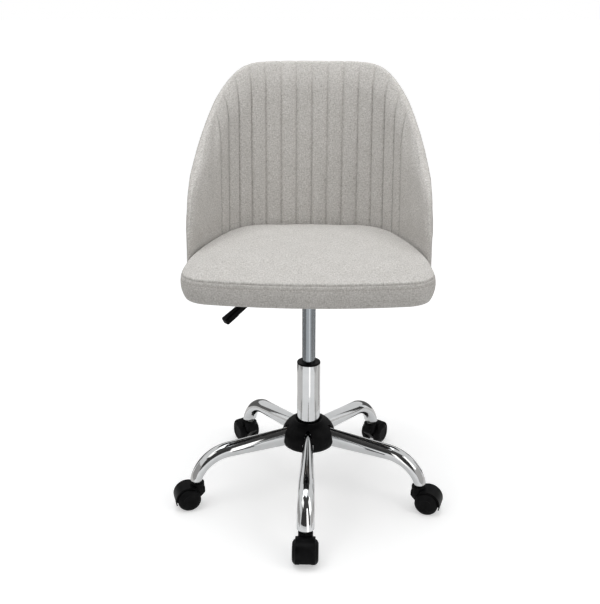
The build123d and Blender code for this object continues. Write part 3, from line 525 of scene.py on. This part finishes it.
def wall_depth(along):
    """Thickness of the jacket square to its inner face, even round the back and closing along the wings."""
    if abs(along) <= crown_length + shoulder_length:
        return wall_thickness
    point, outward = inner_place(abs(along))
    offset = point - outer_side_centre
    near = offset.dot(outward)
    return math.sqrt(near**2 - offset.dot(offset) + outer_side_radius**2) - near


def nearest_seam(along):
    """Distance from the nearest seam, and how many seams that one is from the middle."""
    index = max(-seam_count, min(seam_count, round(along / seam_pitch)))
    return abs(along - index * seam_pitch), abs(index)


def seam_groove(along):
    """How far the cloth is drawn in at this place across the channels."""
    off, index = nearest_seam(along)
    off /= seam_reach + (tight_seam_reach - seam_reach) * eased(tight_from, tight_to, index)
    if off >= 1:
        return 0.0
    return seam_depth * (0.5 * (1 - off) ** 1.7 + 0.5 * (1 - off) ** 5)


def above_seat(height):
    """0 at the level of the seat's crown, 1 well above it."""
    return eased(crown_z, crown_z + seat_fade, height)


def puffed(along, height):
    """How far the channels beside the shoulders stand out between their seams, above the seat."""
    index, share = divmod(abs(along) / seam_pitch, 1)
    if index > seam_count:
        return 0.0
    return channel_puff * eased(tight_from, tight_to, index) * 4 * share * (1 - share) * above_seat(height)


def jacket_stations():
    """Places along the inner face with the nose's turn, closest beside the seams and at the wing's end."""
    places = set()
    for index in range(-seam_count, seam_count + 1):
        for off in seam_offsets:
            places.add(round(index * seam_pitch + off, 3))
            places.add(round(index * seam_pitch - off, 3))
        if index < seam_count:
            places.add((index + 0.5) * seam_pitch)
    edge = seam_count * seam_pitch + seam_offsets[-1]
    corner = wing_length - 2 * wing_corner
    steps = range(1, wing_steps + 1)
    spans = [edge + (corner - edge) * step / wing_steps for step in steps]
    spans += [corner + (wing_length - wing_nose - corner) * step / wing_steps for step in steps]
    for reach in spans:
        places.add(reach)
        places.add(-reach)
    columns = [(along, 0.0) for along in sorted(places)]
    nose = [math.pi / 2 * step / nose_steps for step in range(1, nose_steps)] + [nose_end]
    right = [(wing_length - wing_nose * (1 - math.sin(turn)), turn) for turn in nose]
    return [(-along, turn) for along, turn in reversed(right)] + columns + right


def jacket_profile(depth, rim):
    """Round the wall's section from the bottom inside: depth and height, normal, seam share and side."""
    tip = min(rim_tip_radius, rim_tip_share * depth)
    roll = (depth + (rim_roll - tip) ** 2 / (depth - 2 * tip)) / 2
    roll_centre = Vector((roll, rim - rim_roll))
    tip_centre = Vector((depth - tip, rim - tip))
    join = math.atan2(tip_centre.y - roll_centre.y, tip_centre.x - roll_centre.x)
    foot = min(foot_radius, foot_share * depth)
    profile = []
    for turn in (1.5, 1.35, 1.2, 1.05):
        way = Vector((math.cos(turn * math.pi), math.sin(turn * math.pi)))
        profile.append((Vector((foot, back_bottom + foot)) + way * foot, way, 1.0, "in"))
    low = back_bottom + foot
    for step in range(inner_rows):
        spot = Vector((0, low + (rim - rim_roll - low) * step / inner_rows))
        profile.append((spot, Vector((-1, 0)), 1.0, "in"))
    for step in range(roll_rows):
        turn = math.pi + (join - math.pi) * step / roll_rows
        way = Vector((math.cos(turn), math.sin(turn)))
        seam_share = 1 - (1 - rim_seam_share) * step / roll_rows
        profile.append((roll_centre + way * roll, way, seam_share, "in"))
    for step in range(tip_rows):
        turn = join * (1 - step / tip_rows)
        way = Vector((math.cos(turn), math.sin(turn)))
        profile.append((tip_centre + way * tip, way, rim_seam_share * (1 - step / tip_rows), "rim"))
    for step in range(outer_rows + 1):
        spot = Vector((depth, rim - tip + (low - rim + tip) * step / outer_rows))
        profile.append((spot, Vector((1, 0)), 0.0, "out"))
    for turn in (1.95, 1.8, 1.65, 1.5):
        way = Vector((math.cos(turn * math.pi), math.sin(turn * math.pi)))
        profile.append((Vector((depth - foot, back_bottom + foot)) + way * foot, way, 0.0, "out"))
    return profile


def back_jacket():
    """Foam and fabric jacket: rolled rim, sewn channels inside and over the roll, thin wing ends."""
    columns = jacket_stations()
    points = []
    cloth = []
    sewn = []
    painted_crease_shades = []
    seams = [index * seam_pitch for index in range(-seam_count, seam_count + 1)]
    for along, nose_turn in columns:
        point, outward = inner_place(along)
        whole = wall_depth(along)
        narrow = math.cos(nose_turn)
        start = whole * (1 - narrow) / 2
        rim = rim_height(along)
        groove = seam_groove(along)
        off, index = nearest_seam(along)
        # Painted shade along each seam's fold, strongest at the outermost seams, fading over the rim
        painted_crease_shade = eased(crease_shade_from, seam_count, index) * max(0.0, 1 - off / crease_shade_reach)
        rise = 0.0
        last = None
        for spot, way, seam_share, side in jacket_profile(whole * narrow, rim):
            below_rim = max(0.0, seam_share - rim_seam_share)
            shift = -groove * seam_share + puffed(along, spot.y) * below_rim
            base = point + outward * (start + spot.x)
            calm = min(1.0, max(0.0, (spot.y - back_bottom) / seat_fade)) * narrow
            shift += calm * back_lump * lumps((base.x, base.y, spot.y), size=70, seed=2.0)
            if side == "out":
                beside = abs(rim - spot.y - rear_seam_drop) / rear_seam_reach
                shift -= rear_seam_depth * max(0.0, 1 - beside) ** 2 * narrow
            plan = base + outward * (way.x * shift)
            z = spot.y + way.y * shift
            here = Vector((plan.x, plan.y + lean * (z - back_bottom), z))
            rise += (here - last).length if last is not None else 0.0
            last = here
            points.append(here)
            cloth.append((along, rise))
            painted_crease_shades.append(painted_crease_shade * below_rim / (1 - rim_seam_share))
            if seam_share > sewn_share and along in seams:
                sewn.append(here)
    count = len(points) // len(columns)
    faces = grid_faces(len(columns), count, close=True)
    weave = []
    for face in faces:
        corners = [cloth[i] for i in face]
        tall = max(c[1] for c in corners)
        weave.append([(c[0], c[1] if tall - c[1] < weave_wrap else tall) for c in corners])
    for loop in (range(count - 1, -1, -1), range(len(points) - count, len(points))):
        faces.append(tuple(loop))
        weave.append([cloth[i] for i in loop])
    piece = mesh_piece("back_upholstery", points, faces, weave)
    piece.data.attributes.new("painted_crease_shade", "FLOAT", "POINT").data.foreach_set("value", painted_crease_shades)
    return piece, sewn


def back_rests(point, normal):
    """1 along the bottom edge, which keeps its place; the cloth's direction doesn't matter there."""
    return 1.0 if point.z < back_bottom + back_hold else 0.0


def back_room(point):
    """The channels swell above the seat."""
    share = above_seat(point.z)
    return share, share


# Legs


leg_count = 5
hub_radius = 31.0
stem_circle = 251.0
leg_wall = 1.8
leg_slope = math.radians(5.2)
leg_tip_slope = math.radians(72.0)
leg_bend_radius = 87.0
leg_start = hub_radius / 2 + 6
tip_overhang = 2.0
mouth_rings = 9
mouth_step = 3.0
tip_r = stem_circle + tip_overhang
tip_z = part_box("leg_1")[0].z / MM
knee_r = tip_r - leg_bend_radius * (math.sin(leg_tip_slope) - math.sin(leg_slope))
knee_z = tip_z + leg_bend_radius * (math.cos(leg_slope) - math.cos(leg_tip_slope))
leg_halves = ((23.0, 8.8), (16.7, 16.5), (12.5, 17.7))


def leg_place(length, angle, grow):
    """A point of the leg's wall: so far along its path from inside the hub, and so far round its oval."""
    straight = (knee_r - hub_radius / 2) / math.cos(leg_slope)
    if length <= straight:
        share = length / straight
        r = hub_radius / 2 + length * math.cos(leg_slope)
        z = knee_z + (straight - length) * math.sin(leg_slope)
        droop = leg_slope
        low, high = leg_halves[0], leg_halves[1]
    else:
        droop = leg_slope + (length - straight) / leg_bend_radius
        share = (droop - leg_slope) / (leg_tip_slope - leg_slope)
        r = knee_r + leg_bend_radius * (math.sin(droop) - math.sin(leg_slope))
        z = knee_z - leg_bend_radius * (math.cos(leg_slope) - math.cos(droop))
        low, high = leg_halves[1], leg_halves[2]
    tall = low[0] + (high[0] - low[0]) * share + grow
    wide = low[1] + (high[1] - low[1]) * share + grow
    up = tall * math.cos(angle)
    return (r + up * math.sin(droop), wide * math.sin(angle), z + up * math.cos(droop))


def leg_end(angle, grow):
    """Path length at which the leg's side at this angle reaches the level of its open end."""
    low, high = 200.0, 330.0
    for _ in range(40):
        middle = (low + high) / 2
        if leg_place(middle, angle, grow)[2] > tip_z:
            low = middle
        else:
            high = middle
    return low


def leg(index):
    """Bent oval tube with its open end towards the caster."""
    around = 56
    along = 72
    points = []
    angles = [2 * math.pi * step / around for step in range(around)]
    ends = [leg_end(a, 0) for a in angles]
    inner_ends = [leg_end(a, -leg_wall) for a in angles]
    for step in range(along + 1):
        share = step / along
        points += [leg_place(leg_start + (e - leg_start) * share, a, 0) for a, e in zip(angles, ends)]
    for step in range(mouth_rings):
        points += [leg_place(e - mouth_step * step, a, -leg_wall) for a, e in zip(angles, inner_ends)]
    faces = grid_faces(along + 1 + mouth_rings, around, close=True)
    faces.append(tuple(range(around)))
    last = (along + mouth_rings) * around
    faces.append(tuple(range(last + around - 1, last - 1, -1)))
    turn = math.radians(-90 + index * 360 / leg_count)
    c, s = math.cos(turn), math.sin(turn)
    turned = [(x * c - y * s, x * s + y * c, z) for x, y, z in points]
    piece = mesh_piece(f"leg_{index + 1}_tube", turned, [f[::-1] for f in faces])
    piece.data.set_sharp_from_angle(angle=math.radians(40))
    return piece


# Materials


def new_material(name):
    material = bpy.data.materials.new(name)
    material.use_nodes = True
    tree = material.node_tree
    return material, tree, tree.nodes["Principled BSDF"]


def add(tree, kind, **values):
    node = tree.nodes.new(kind)
    for key, value in values.items():
        setattr(node, key, value)
    return node


def object_coordinates(tree):
    return add(tree, "ShaderNodeTexCoord").outputs["Object"]


def parts_of(tree, vector):
    node = add(tree, "ShaderNodeSeparateXYZ")
    tree.links.new(vector, node.inputs[0])
    return node.outputs


def math_node(tree, operation, first, second=None):
    node = add(tree, "ShaderNodeMath", operation=operation)
    for socket, value in zip(node.inputs, (first, second)):
        if value is None:
            continue
        if isinstance(value, (int, float)):
            socket.default_value = value
        else:
            tree.links.new(value, socket)
    return node.outputs[0]


def noise_node(tree, vector, scale, detail=2.0, roughness=0.5):
    node = add(tree, "ShaderNodeTexNoise")
    node.inputs["Scale"].default_value = scale
    node.inputs["Detail"].default_value = detail
    node.inputs["Roughness"].default_value = roughness
    tree.links.new(vector, node.inputs["Vector"])
    return node.outputs["Fac"]


def stretched(tree, vector, scale):
    node = add(tree, "ShaderNodeMapping")
    node.inputs["Scale"].default_value = scale
    tree.links.new(vector, node.inputs["Vector"])
    return node.outputs[0]


def ramp(tree, value, stops):
    node = add(tree, "ShaderNodeValToRGB")
    tree.links.new(value, node.inputs["Fac"])
    elements = node.color_ramp.elements
    while len(elements) < len(stops):
        elements.new(0.5)
    for element, (place, colour) in zip(elements, stops):
        element.position = place
        element.color = (*colour, 1)
    return node.outputs["Color"]


def mixed(tree, blend, factor, first, second):
    node = add(tree, "ShaderNodeMix", data_type="RGBA", blend_type=blend)
    for socket, value in ((node.inputs[0], factor), (node.inputs[6], first), (node.inputs[7], second)):
        if isinstance(value, (int, float)):
            socket.default_value = value
        elif isinstance(value, tuple):
            socket.default_value = (*value, 1)
        else:
            tree.links.new(value, socket)
    return node.outputs[2]


def bump(tree, shader, height, strength, distance):
    node = add(tree, "ShaderNodeBump")
    node.inputs["Strength"].default_value = strength
    node.inputs["Distance"].default_value = distance
    tree.links.new(height, node.inputs["Height"])
    tree.links.new(node.outputs["Normal"], shader.inputs["Normal"])


def linear(red, green, blue):
    """Screen colour, 0 to 255, as the colour a shader takes."""
    def one(value):
        value /= 255
        return value / 12.92 if value <= 0.04045 else ((value + 0.055) / 1.055) ** 2.4

    return (one(red), one(green), one(blue))


def linen():
    """Plain weave in mixed grey yarns with slubs along them, darkened by painted shade in the tight folds.
    """
    material, tree, shader = new_material("linen_weave")
    uv = add(tree, "ShaderNodeUVMap", uv_map="weave").outputs[0]
    across, along, _ = parts_of(tree, uv)
    yarn_pitch = 0.0011
    warp = math_node(tree, "SINE", math_node(tree, "MULTIPLY", across, math.pi / yarn_pitch))
    weft = math_node(tree, "SINE", math_node(tree, "MULTIPLY", along, math.pi / yarn_pitch))
    over = math_node(tree, "MULTIPLY", warp, weft)
    choose = math_node(tree, "MULTIPLY_ADD", over, 0.9)
    choose.node.inputs[2].default_value = 0.5
    choose.node.use_clamp = True
    warp_slub = noise_node(tree, stretched(tree, uv, (640, 110, 1)), 1.0, 3.0, 0.65)
    weft_slub = noise_node(tree, stretched(tree, uv, (110, 600, 1)), 1.0, 3.0, 0.65)
    light = linear(226, 224, 221)
    main = linear(200, 197, 193)
    dark = linear(146, 141, 135)
    stops = ((0.3, dark), (0.47, main), (0.55, main), (0.72, light))
    threads = mixed(tree, "MIX", choose, ramp(tree, warp_slub, stops), ramp(tree, weft_slub, stops))
    cloud = noise_node(tree, uv, 26.0, 3.0)
    tone = ramp(tree, cloud, ((0.3, (0.93, 0.93, 0.925)), (0.7, (1.0, 1.0, 1.0))))
    heather = noise_node(tree, uv, 330.0, 3.0, 0.7)
    flecks = ((0.34, (0.8, 0.79, 0.78)), (0.5, (1.0, 1.0, 1.0)), (0.66, (1.2, 1.2, 1.2)))
    mottle = ramp(tree, heather, flecks)
    colour = mixed(tree, "MULTIPLY", 1.0, mixed(tree, "MULTIPLY", 1.0, threads, tone), mottle)
    # Painted shade: the colour is darkened where the back's seams fold
    painted_crease_shade = add(tree, "ShaderNodeAttribute", attribute_name="painted_crease_shade").outputs["Fac"]
    shade = math_node(tree, "MULTIPLY_ADD", painted_crease_shade, -crease_shade_strength)
    shade.node.inputs[2].default_value = 1.0
    colour = mixed(tree, "MULTIPLY", 1.0, colour, shade)
    tree.links.new(colour, shader.inputs["Base Color"])
    shader.inputs["Roughness"].default_value = 0.92
    shader.inputs["Specular IOR Level"].default_value = 0.25
    shader.inputs["Sheen Weight"].default_value = 0.1
    shader.inputs["Sheen Roughness"].default_value = 0.5
    thick = math_node(tree, "MULTIPLY", warp_slub, 0.6)
    yarn = math_node(tree, "ADD", math_node(tree, "ABSOLUTE", over), thick)
    height = math_node(tree, "ADD", yarn, math_node(tree, "MULTIPLY", heather, 1.2))
    bump(tree, shader, height, 0.4, 0.0008)
    return material


def sewing_thread():
    """Twisted thread, a little darker than the cloth."""
    material, tree, shader = new_material("sewing_thread")
    place = object_coordinates(tree)
    twist = noise_node(tree, stretched(tree, place, (900, 900, 2600)), 1.0, 2.0)
    tone = ramp(tree, twist, ((0.35, linear(138, 133, 127)), (0.65, linear(186, 182, 176))))
    tree.links.new(tone, shader.inputs["Base Color"])
    shader.inputs["Roughness"].default_value = 0.75
    bump(tree, shader, twist, 0.3, 0.0002)
    return material


def chrome():
    """Bright plating with faint haze and wiping marks."""
    material, tree, shader = new_material("chrome_plate")
    place = object_coordinates(tree)
    haze = noise_node(tree, place, 38.0, 4.0)
    wipe = noise_node(tree, stretched(tree, place, (30, 30, 260)), 1.0, 2.0)
    rough = math_node(tree, "MULTIPLY_ADD", math_node(tree, "MULTIPLY", haze, wipe), 0.16)
    rough.node.inputs[2].default_value = 0.03
    tree.links.new(rough, shader.inputs["Roughness"])
    tone = ramp(tree, haze, ((0.3, (0.51, 0.52, 0.525)), (0.75, (0.57, 0.575, 0.58))))
    tree.links.new(tone, shader.inputs["Base Color"])
    shader.inputs["Metallic"].default_value = 1.0
    return material


def satin_metal(name, colour, roughness, grain, spread):
    """Ground or painted metal with fine lines round it."""
    material, tree, shader = new_material(name)
    place = object_coordinates(tree)
    lines = noise_node(tree, stretched(tree, place, grain), 1.0, 3.0)
    low = tuple(c * (1 - spread) for c in colour)
    high = tuple(min(1.0, c * (1 + spread)) for c in colour)
    tree.links.new(ramp(tree, lines, ((0.3, low), (0.7, high))), shader.inputs["Base Color"])
    rough = math_node(tree, "MULTIPLY_ADD", lines, 0.14)
    rough.node.inputs[2].default_value = roughness
    tree.links.new(rough, shader.inputs["Roughness"])
    shader.inputs["Metallic"].default_value = 1.0
    return material


def moulded(name, colour, roughness, grain, depth):
    """Moulded plastic or rubber: fine pebble, rubbed patches and a trace of dust."""
    material, tree, shader = new_material(name)
    shader.inputs["Specular IOR Level"].default_value = 0.05
    place = object_coordinates(tree)
    pebble = noise_node(tree, place, grain, 2.0, 0.6)
    rubbed = noise_node(tree, place, 55.0, 4.0, 0.6)
    high = tuple(min(1.0, c * 1.7 + 0.004) for c in colour)
    tree.links.new(ramp(tree, rubbed, ((0.35, colour), (0.75, high))), shader.inputs["Base Color"])
    rough = math_node(tree, "MULTIPLY_ADD", rubbed, 0.2)
    rough.node.inputs[2].default_value = roughness - 0.1
    tree.links.new(rough, shader.inputs["Roughness"])
    bump(tree, shader, pebble, depth, 0.0003)
    return material


def plywood():
    """Veneer figure with the plies showing as thin bands."""
    material, tree, shader = new_material("plywood_sheet")
    place = object_coordinates(tree)
    figure = noise_node(tree, stretched(tree, place, (9, 130, 130)), 1.0, 6.0, 0.6)
    ply_pair = 0.003
    height = parts_of(tree, place)[2]
    plies = math_node(tree, "SINE", math_node(tree, "MULTIPLY", height, 2 * math.pi / ply_pair))
    wood = ((0.25, linear(150, 112, 72)), (0.6, linear(196, 160, 112)), (0.9, linear(214, 182, 136)))
    grain = ramp(tree, figure, wood)
    edge = ramp(tree, plies, ((0.0, (0.72, 0.68, 0.62)), (0.6, (1.0, 1.0, 1.0))))
    tree.links.new(mixed(tree, "MULTIPLY", 0.35, grain, edge), shader.inputs["Base Color"])
    shader.inputs["Roughness"].default_value = 0.65
    bump(tree, shader, figure, 0.1, 0.0004)
    return material


def dust_cloth():
    """Thin spunbonded cloth under the seat, with its pressed dots."""
    material, tree, shader = new_material("spunbond_cloth")
    place = object_coordinates(tree)
    dots = add(tree, "ShaderNodeTexVoronoi", feature="F1")
    dots.inputs["Scale"].default_value = 600.0
    tree.links.new(place, dots.inputs["Vector"])
    fibre = noise_node(tree, stretched(tree, place, (90, 420, 90)), 1.0, 4.0)
    tone = ramp(tree, fibre, ((0.3, linear(24, 24, 25)), (0.75, linear(52, 52, 54))))
    tree.links.new(tone, shader.inputs["Base Color"])
    shader.inputs["Roughness"].default_value = 0.95
    bump(tree, shader, dots.outputs["Distance"], 0.25, 0.0004)
    return material


# Build

linen_cloth = linen()
chrome_plate = chrome()
materials = {
    "chrome": chrome_plate,
    "grey_cylinder": satin_metal("satin_grey_tube", linear(140, 145, 149), 0.08, (60, 60, 1600), 0.05),
    "black_plastic": moulded("black_moulding", linear(9, 9, 10), 0.4, 1500.0, 0.12),
    "wheel_plastic": moulded("wheel_moulding", linear(12, 12, 13), 0.48, 1100.0, 0.16),
    "bright_steel": satin_metal("zinc_plated_steel", linear(186, 187, 184), 0.28, (300, 300, 300), 0.12),
    "black_steel": moulded("black_powder_coat", linear(26, 26, 27), 0.5, 2600.0, 0.3),
    "plywood": plywood(),
    "dust_cloth": dust_cloth(),
    "rubber": moulded("rubber_moulding", linear(30, 30, 30), 0.75, 1800.0, 0.2),
    "upholstery": linen_cloth,
}
for row in frame["record"]["subparts"]:
    node = nodes[row["node"]]
    node.data.materials.clear()
    node.data.materials.append(materials[row["material_slot"]])

seat, seat_seam, stitched_row = seat_cushion()
back, back_seams = back_jacket()
swollen(seat, seat_seam, seat_rests, seat_room, seat_pressure, seat_cap)
swollen(back, back_seams, back_rests, back_room, back_pressure, back_cap)

seat.data.materials.append(linen_cloth)
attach(seat, "seat")
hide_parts("seat_cushion")

thread = stitches(seat, stitched_row)
thread.data.materials.append(sewing_thread())
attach(thread, "seat")

back.data.materials.append(linen_cloth)
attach(back, "seat")
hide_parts("back_jacket")

for index in range(leg_count):
    tube = leg(index)
    tube.data.materials.append(chrome_plate)
    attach(tube, "base")
    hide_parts(f"leg_{index + 1}")

# Floor


def plane(name, corners):
    mesh = bpy.data.meshes.new(name)
    mesh.from_pydata(corners, [], [(0, 1, 2, 3)])
    piece = bpy.data.objects.new(name, mesh)
    bpy.context.scene.collection.objects.link(piece)
    return piece


reach = 40.0
glow_range = {"From Min": 0.3, "From Max": 3.0, "To Min": 0.42, "To Max": 0.62}
floor = plane("floor", [(-reach, -reach, 0), (reach, -reach, 0), (reach, reach, 0), (-reach, reach, 0)])
paper, tree, shader = new_material("white_paper")
shader.inputs["Base Color"].default_value = (0.8, 0.8, 0.8, 1)
shader.inputs["Roughness"].default_value = 0.9
rays = add(tree, "ShaderNodeLightPath")
seen = math_node(tree, "MAXIMUM", rays.outputs["Is Camera Ray"], rays.outputs["Is Glossy Ray"])
seen = math_node(tree, "MAXIMUM", seen, rays.outputs["Is Transmission Ray"])
spread = add(tree, "ShaderNodeVectorMath", operation="LENGTH")
tree.links.new(object_coordinates(tree), spread.inputs[0])
far = add(tree, "ShaderNodeMapRange", interpolation_type="SMOOTHSTEP")
tree.links.new(spread.outputs["Value"], far.inputs["Value"])
for socket, value in glow_range.items():
    far.inputs[socket].default_value = value
glow = add(tree, "ShaderNodeEmission")
tree.links.new(math_node(tree, "MULTIPLY", seen, far.outputs[0]), glow.inputs["Strength"])
both = add(tree, "ShaderNodeAddShader")
tree.links.new(shader.outputs[0], both.inputs[0])
tree.links.new(glow.outputs[0], both.inputs[1])
tree.links.new(both.outputs[0], tree.nodes["Material Output"].inputs["Surface"])
floor.data.materials.append(paper)

# Light


def area_light(name, place, target, size, power, colour):
    data = bpy.data.lights.new(name, "AREA")
    data.shape = "RECTANGLE"
    data.size, data.size_y = size
    data.energy = power
    data.color = colour
    lamp = bpy.data.objects.new(name, data)
    lamp.location = place
    lamp.rotation_euler = (Vector(target) - Vector(place)).to_track_quat("-Z", "Y").to_euler()
    bpy.context.scene.collection.objects.link(lamp)
    return lamp


centre = (0, 0, 0.5)
key_power = 11.5
top_power = 23.6
fill_power = 11.0
area_light("key_light", (-1.6, -1.3, 2.6), centre, (1.4, 1.4), key_power, (1.0, 0.99, 0.97))
area_light("top_light", (-0.1, 0.05, 2.3), centre, (1.7, 1.5), top_power, (0.96, 0.98, 1.0))
area_light("fill_light", (1.9, -1.2, 1.7), centre, (1.0, 1.6), fill_power, (1.0, 0.99, 0.97))

# Studio cards, which only glossy surfaces mirror: ceilings, a front, floor cards, flags and a bright strip

floor_gap = 0.002
card_pieces = 6
flag_radius = 0.75
flag_height = 0.26


def card(name, corners, glow):
    piece = plane(name, corners)
    material, tree, shader = new_material(name)
    shader.inputs["Base Color"].default_value = (0.02, 0.02, 0.02, 1)
    shader.inputs["Roughness"].default_value = 0.9
    shader.inputs["Specular IOR Level"].default_value = 0.0
    shader.inputs["Emission Color"].default_value = (1, 0.98, 0.96, 1)
    shader.inputs["Emission Strength"].default_value = glow
    piece.data.materials.append(material)
    piece.visible_camera = False
    piece.visible_diffuse = False
    piece.visible_shadow = False


def flag(name, radius, start, end, height, glow):
    """An upright card so far from the column, between two angles in degrees from the front to the right."""
    ends = [Vector((math.sin(math.radians(a)), -math.cos(math.radians(a)))) * radius for a in (start, end)]
    foot = [(p.x, p.y, floor_gap) for p in ends]
    card(name, foot + [(p.x, p.y, height) for p in reversed(ends)], glow)


def floor_card(name, near, far, start, end, glow, height):
    """A card lying on the floor between two distances from the column and two such angles, in pieces."""
    steps = [math.radians(start + (end - start) * step / card_pieces) for step in range(card_pieces + 1)]
    for index, (first, second) in enumerate(zip(steps, steps[1:])):
        spots = ((near, first), (far, first), (far, second), (near, second))
        corners = [(radius * math.sin(turn), -radius * math.cos(turn), height) for radius, turn in spots]
        card(f"{name}_{index}", corners, glow)


card("dark_ceiling", [(-1.8, 0.85, 2.6), (1.8, 0.85, 2.6), (1.8, 3.3, 2.6), (-1.8, 3.3, 2.6)], 0.0)
card("front_ceiling", [(-3, -4, 2.7), (3, -4, 2.7), (3, -0.9, 2.7), (-3, -0.9, 2.7)], 0.08)
card("dark_front", [(-3.5, -3.4, 0.35), (3.5, -3.4, 0.35), (3.5, -3.4, 2.9), (-3.5, -3.4, 2.9)], 0.05)
floor_card("left_floor", 0.4, 0.75, -172, -60, 0.8, floor_gap)
floor_card("right_floor", 0.4, 0.75, 60, 172, 0.85, floor_gap)
floor_card("right_streak", 0.42, 0.74, 113, 118, 0.1, floor_gap + 0.001)
flag("left_flag", flag_radius, -172, -108, flag_height, 0.16)
flag("right_flag", flag_radius, 128, 172, flag_height, 0.12)
flag("right_gap", flag_radius, 108, 118, flag_height, 0.05)
flag("left_side", flag_radius, -100, -45, flag_height, 0.45)
flag("right_side", flag_radius, 40, 100, flag_height, 0.62)
flag("bright_strip", 0.5, 6, 16, 0.36, 2.4)

world = bpy.data.worlds.new("studio")
world.use_nodes = True
bpy.context.scene.world = world
tree = world.node_tree
background = tree.nodes["Background"]
rays = add(tree, "ShaderNodeLightPath")
seen = math_node(tree, "MAXIMUM", rays.outputs["Is Camera Ray"], rays.outputs["Is Glossy Ray"])
seen = math_node(tree, "MAXIMUM", seen, rays.outputs["Is Transmission Ray"])
ambient = 0.45
background.inputs["Color"].default_value = (1, 1, 1, 1)
level = math_node(tree, "MULTIPLY_ADD", seen, 1 - ambient)
level.node.inputs[2].default_value = ambient
tree.links.new(level, background.inputs["Strength"])

# Camera, at the photograph's angle

sensor = 36.0
image_height = 604
focal_pixels = 841.9
pitch = math.radians(19.93)
yaw = math.radians(-1.786)
forward = Vector((math.sin(yaw) * math.cos(pitch), math.cos(yaw) * math.cos(pitch), -math.sin(pitch)))
camera_data = bpy.data.cameras.new("camera")
camera_data.sensor_width = sensor
camera_data.lens = focal_pixels * sensor / image_height
camera = bpy.data.objects.new("camera", camera_data)
camera.location = Vector((32.7, -1650.0, 1042.9)) * MM
camera.rotation_euler = forward.to_track_quat("-Z", "Y").to_euler()
bpy.context.scene.collection.objects.link(camera)
bpy.context.scene.camera = camera
bpy.context.scene.view_settings.view_transform = "Standard"
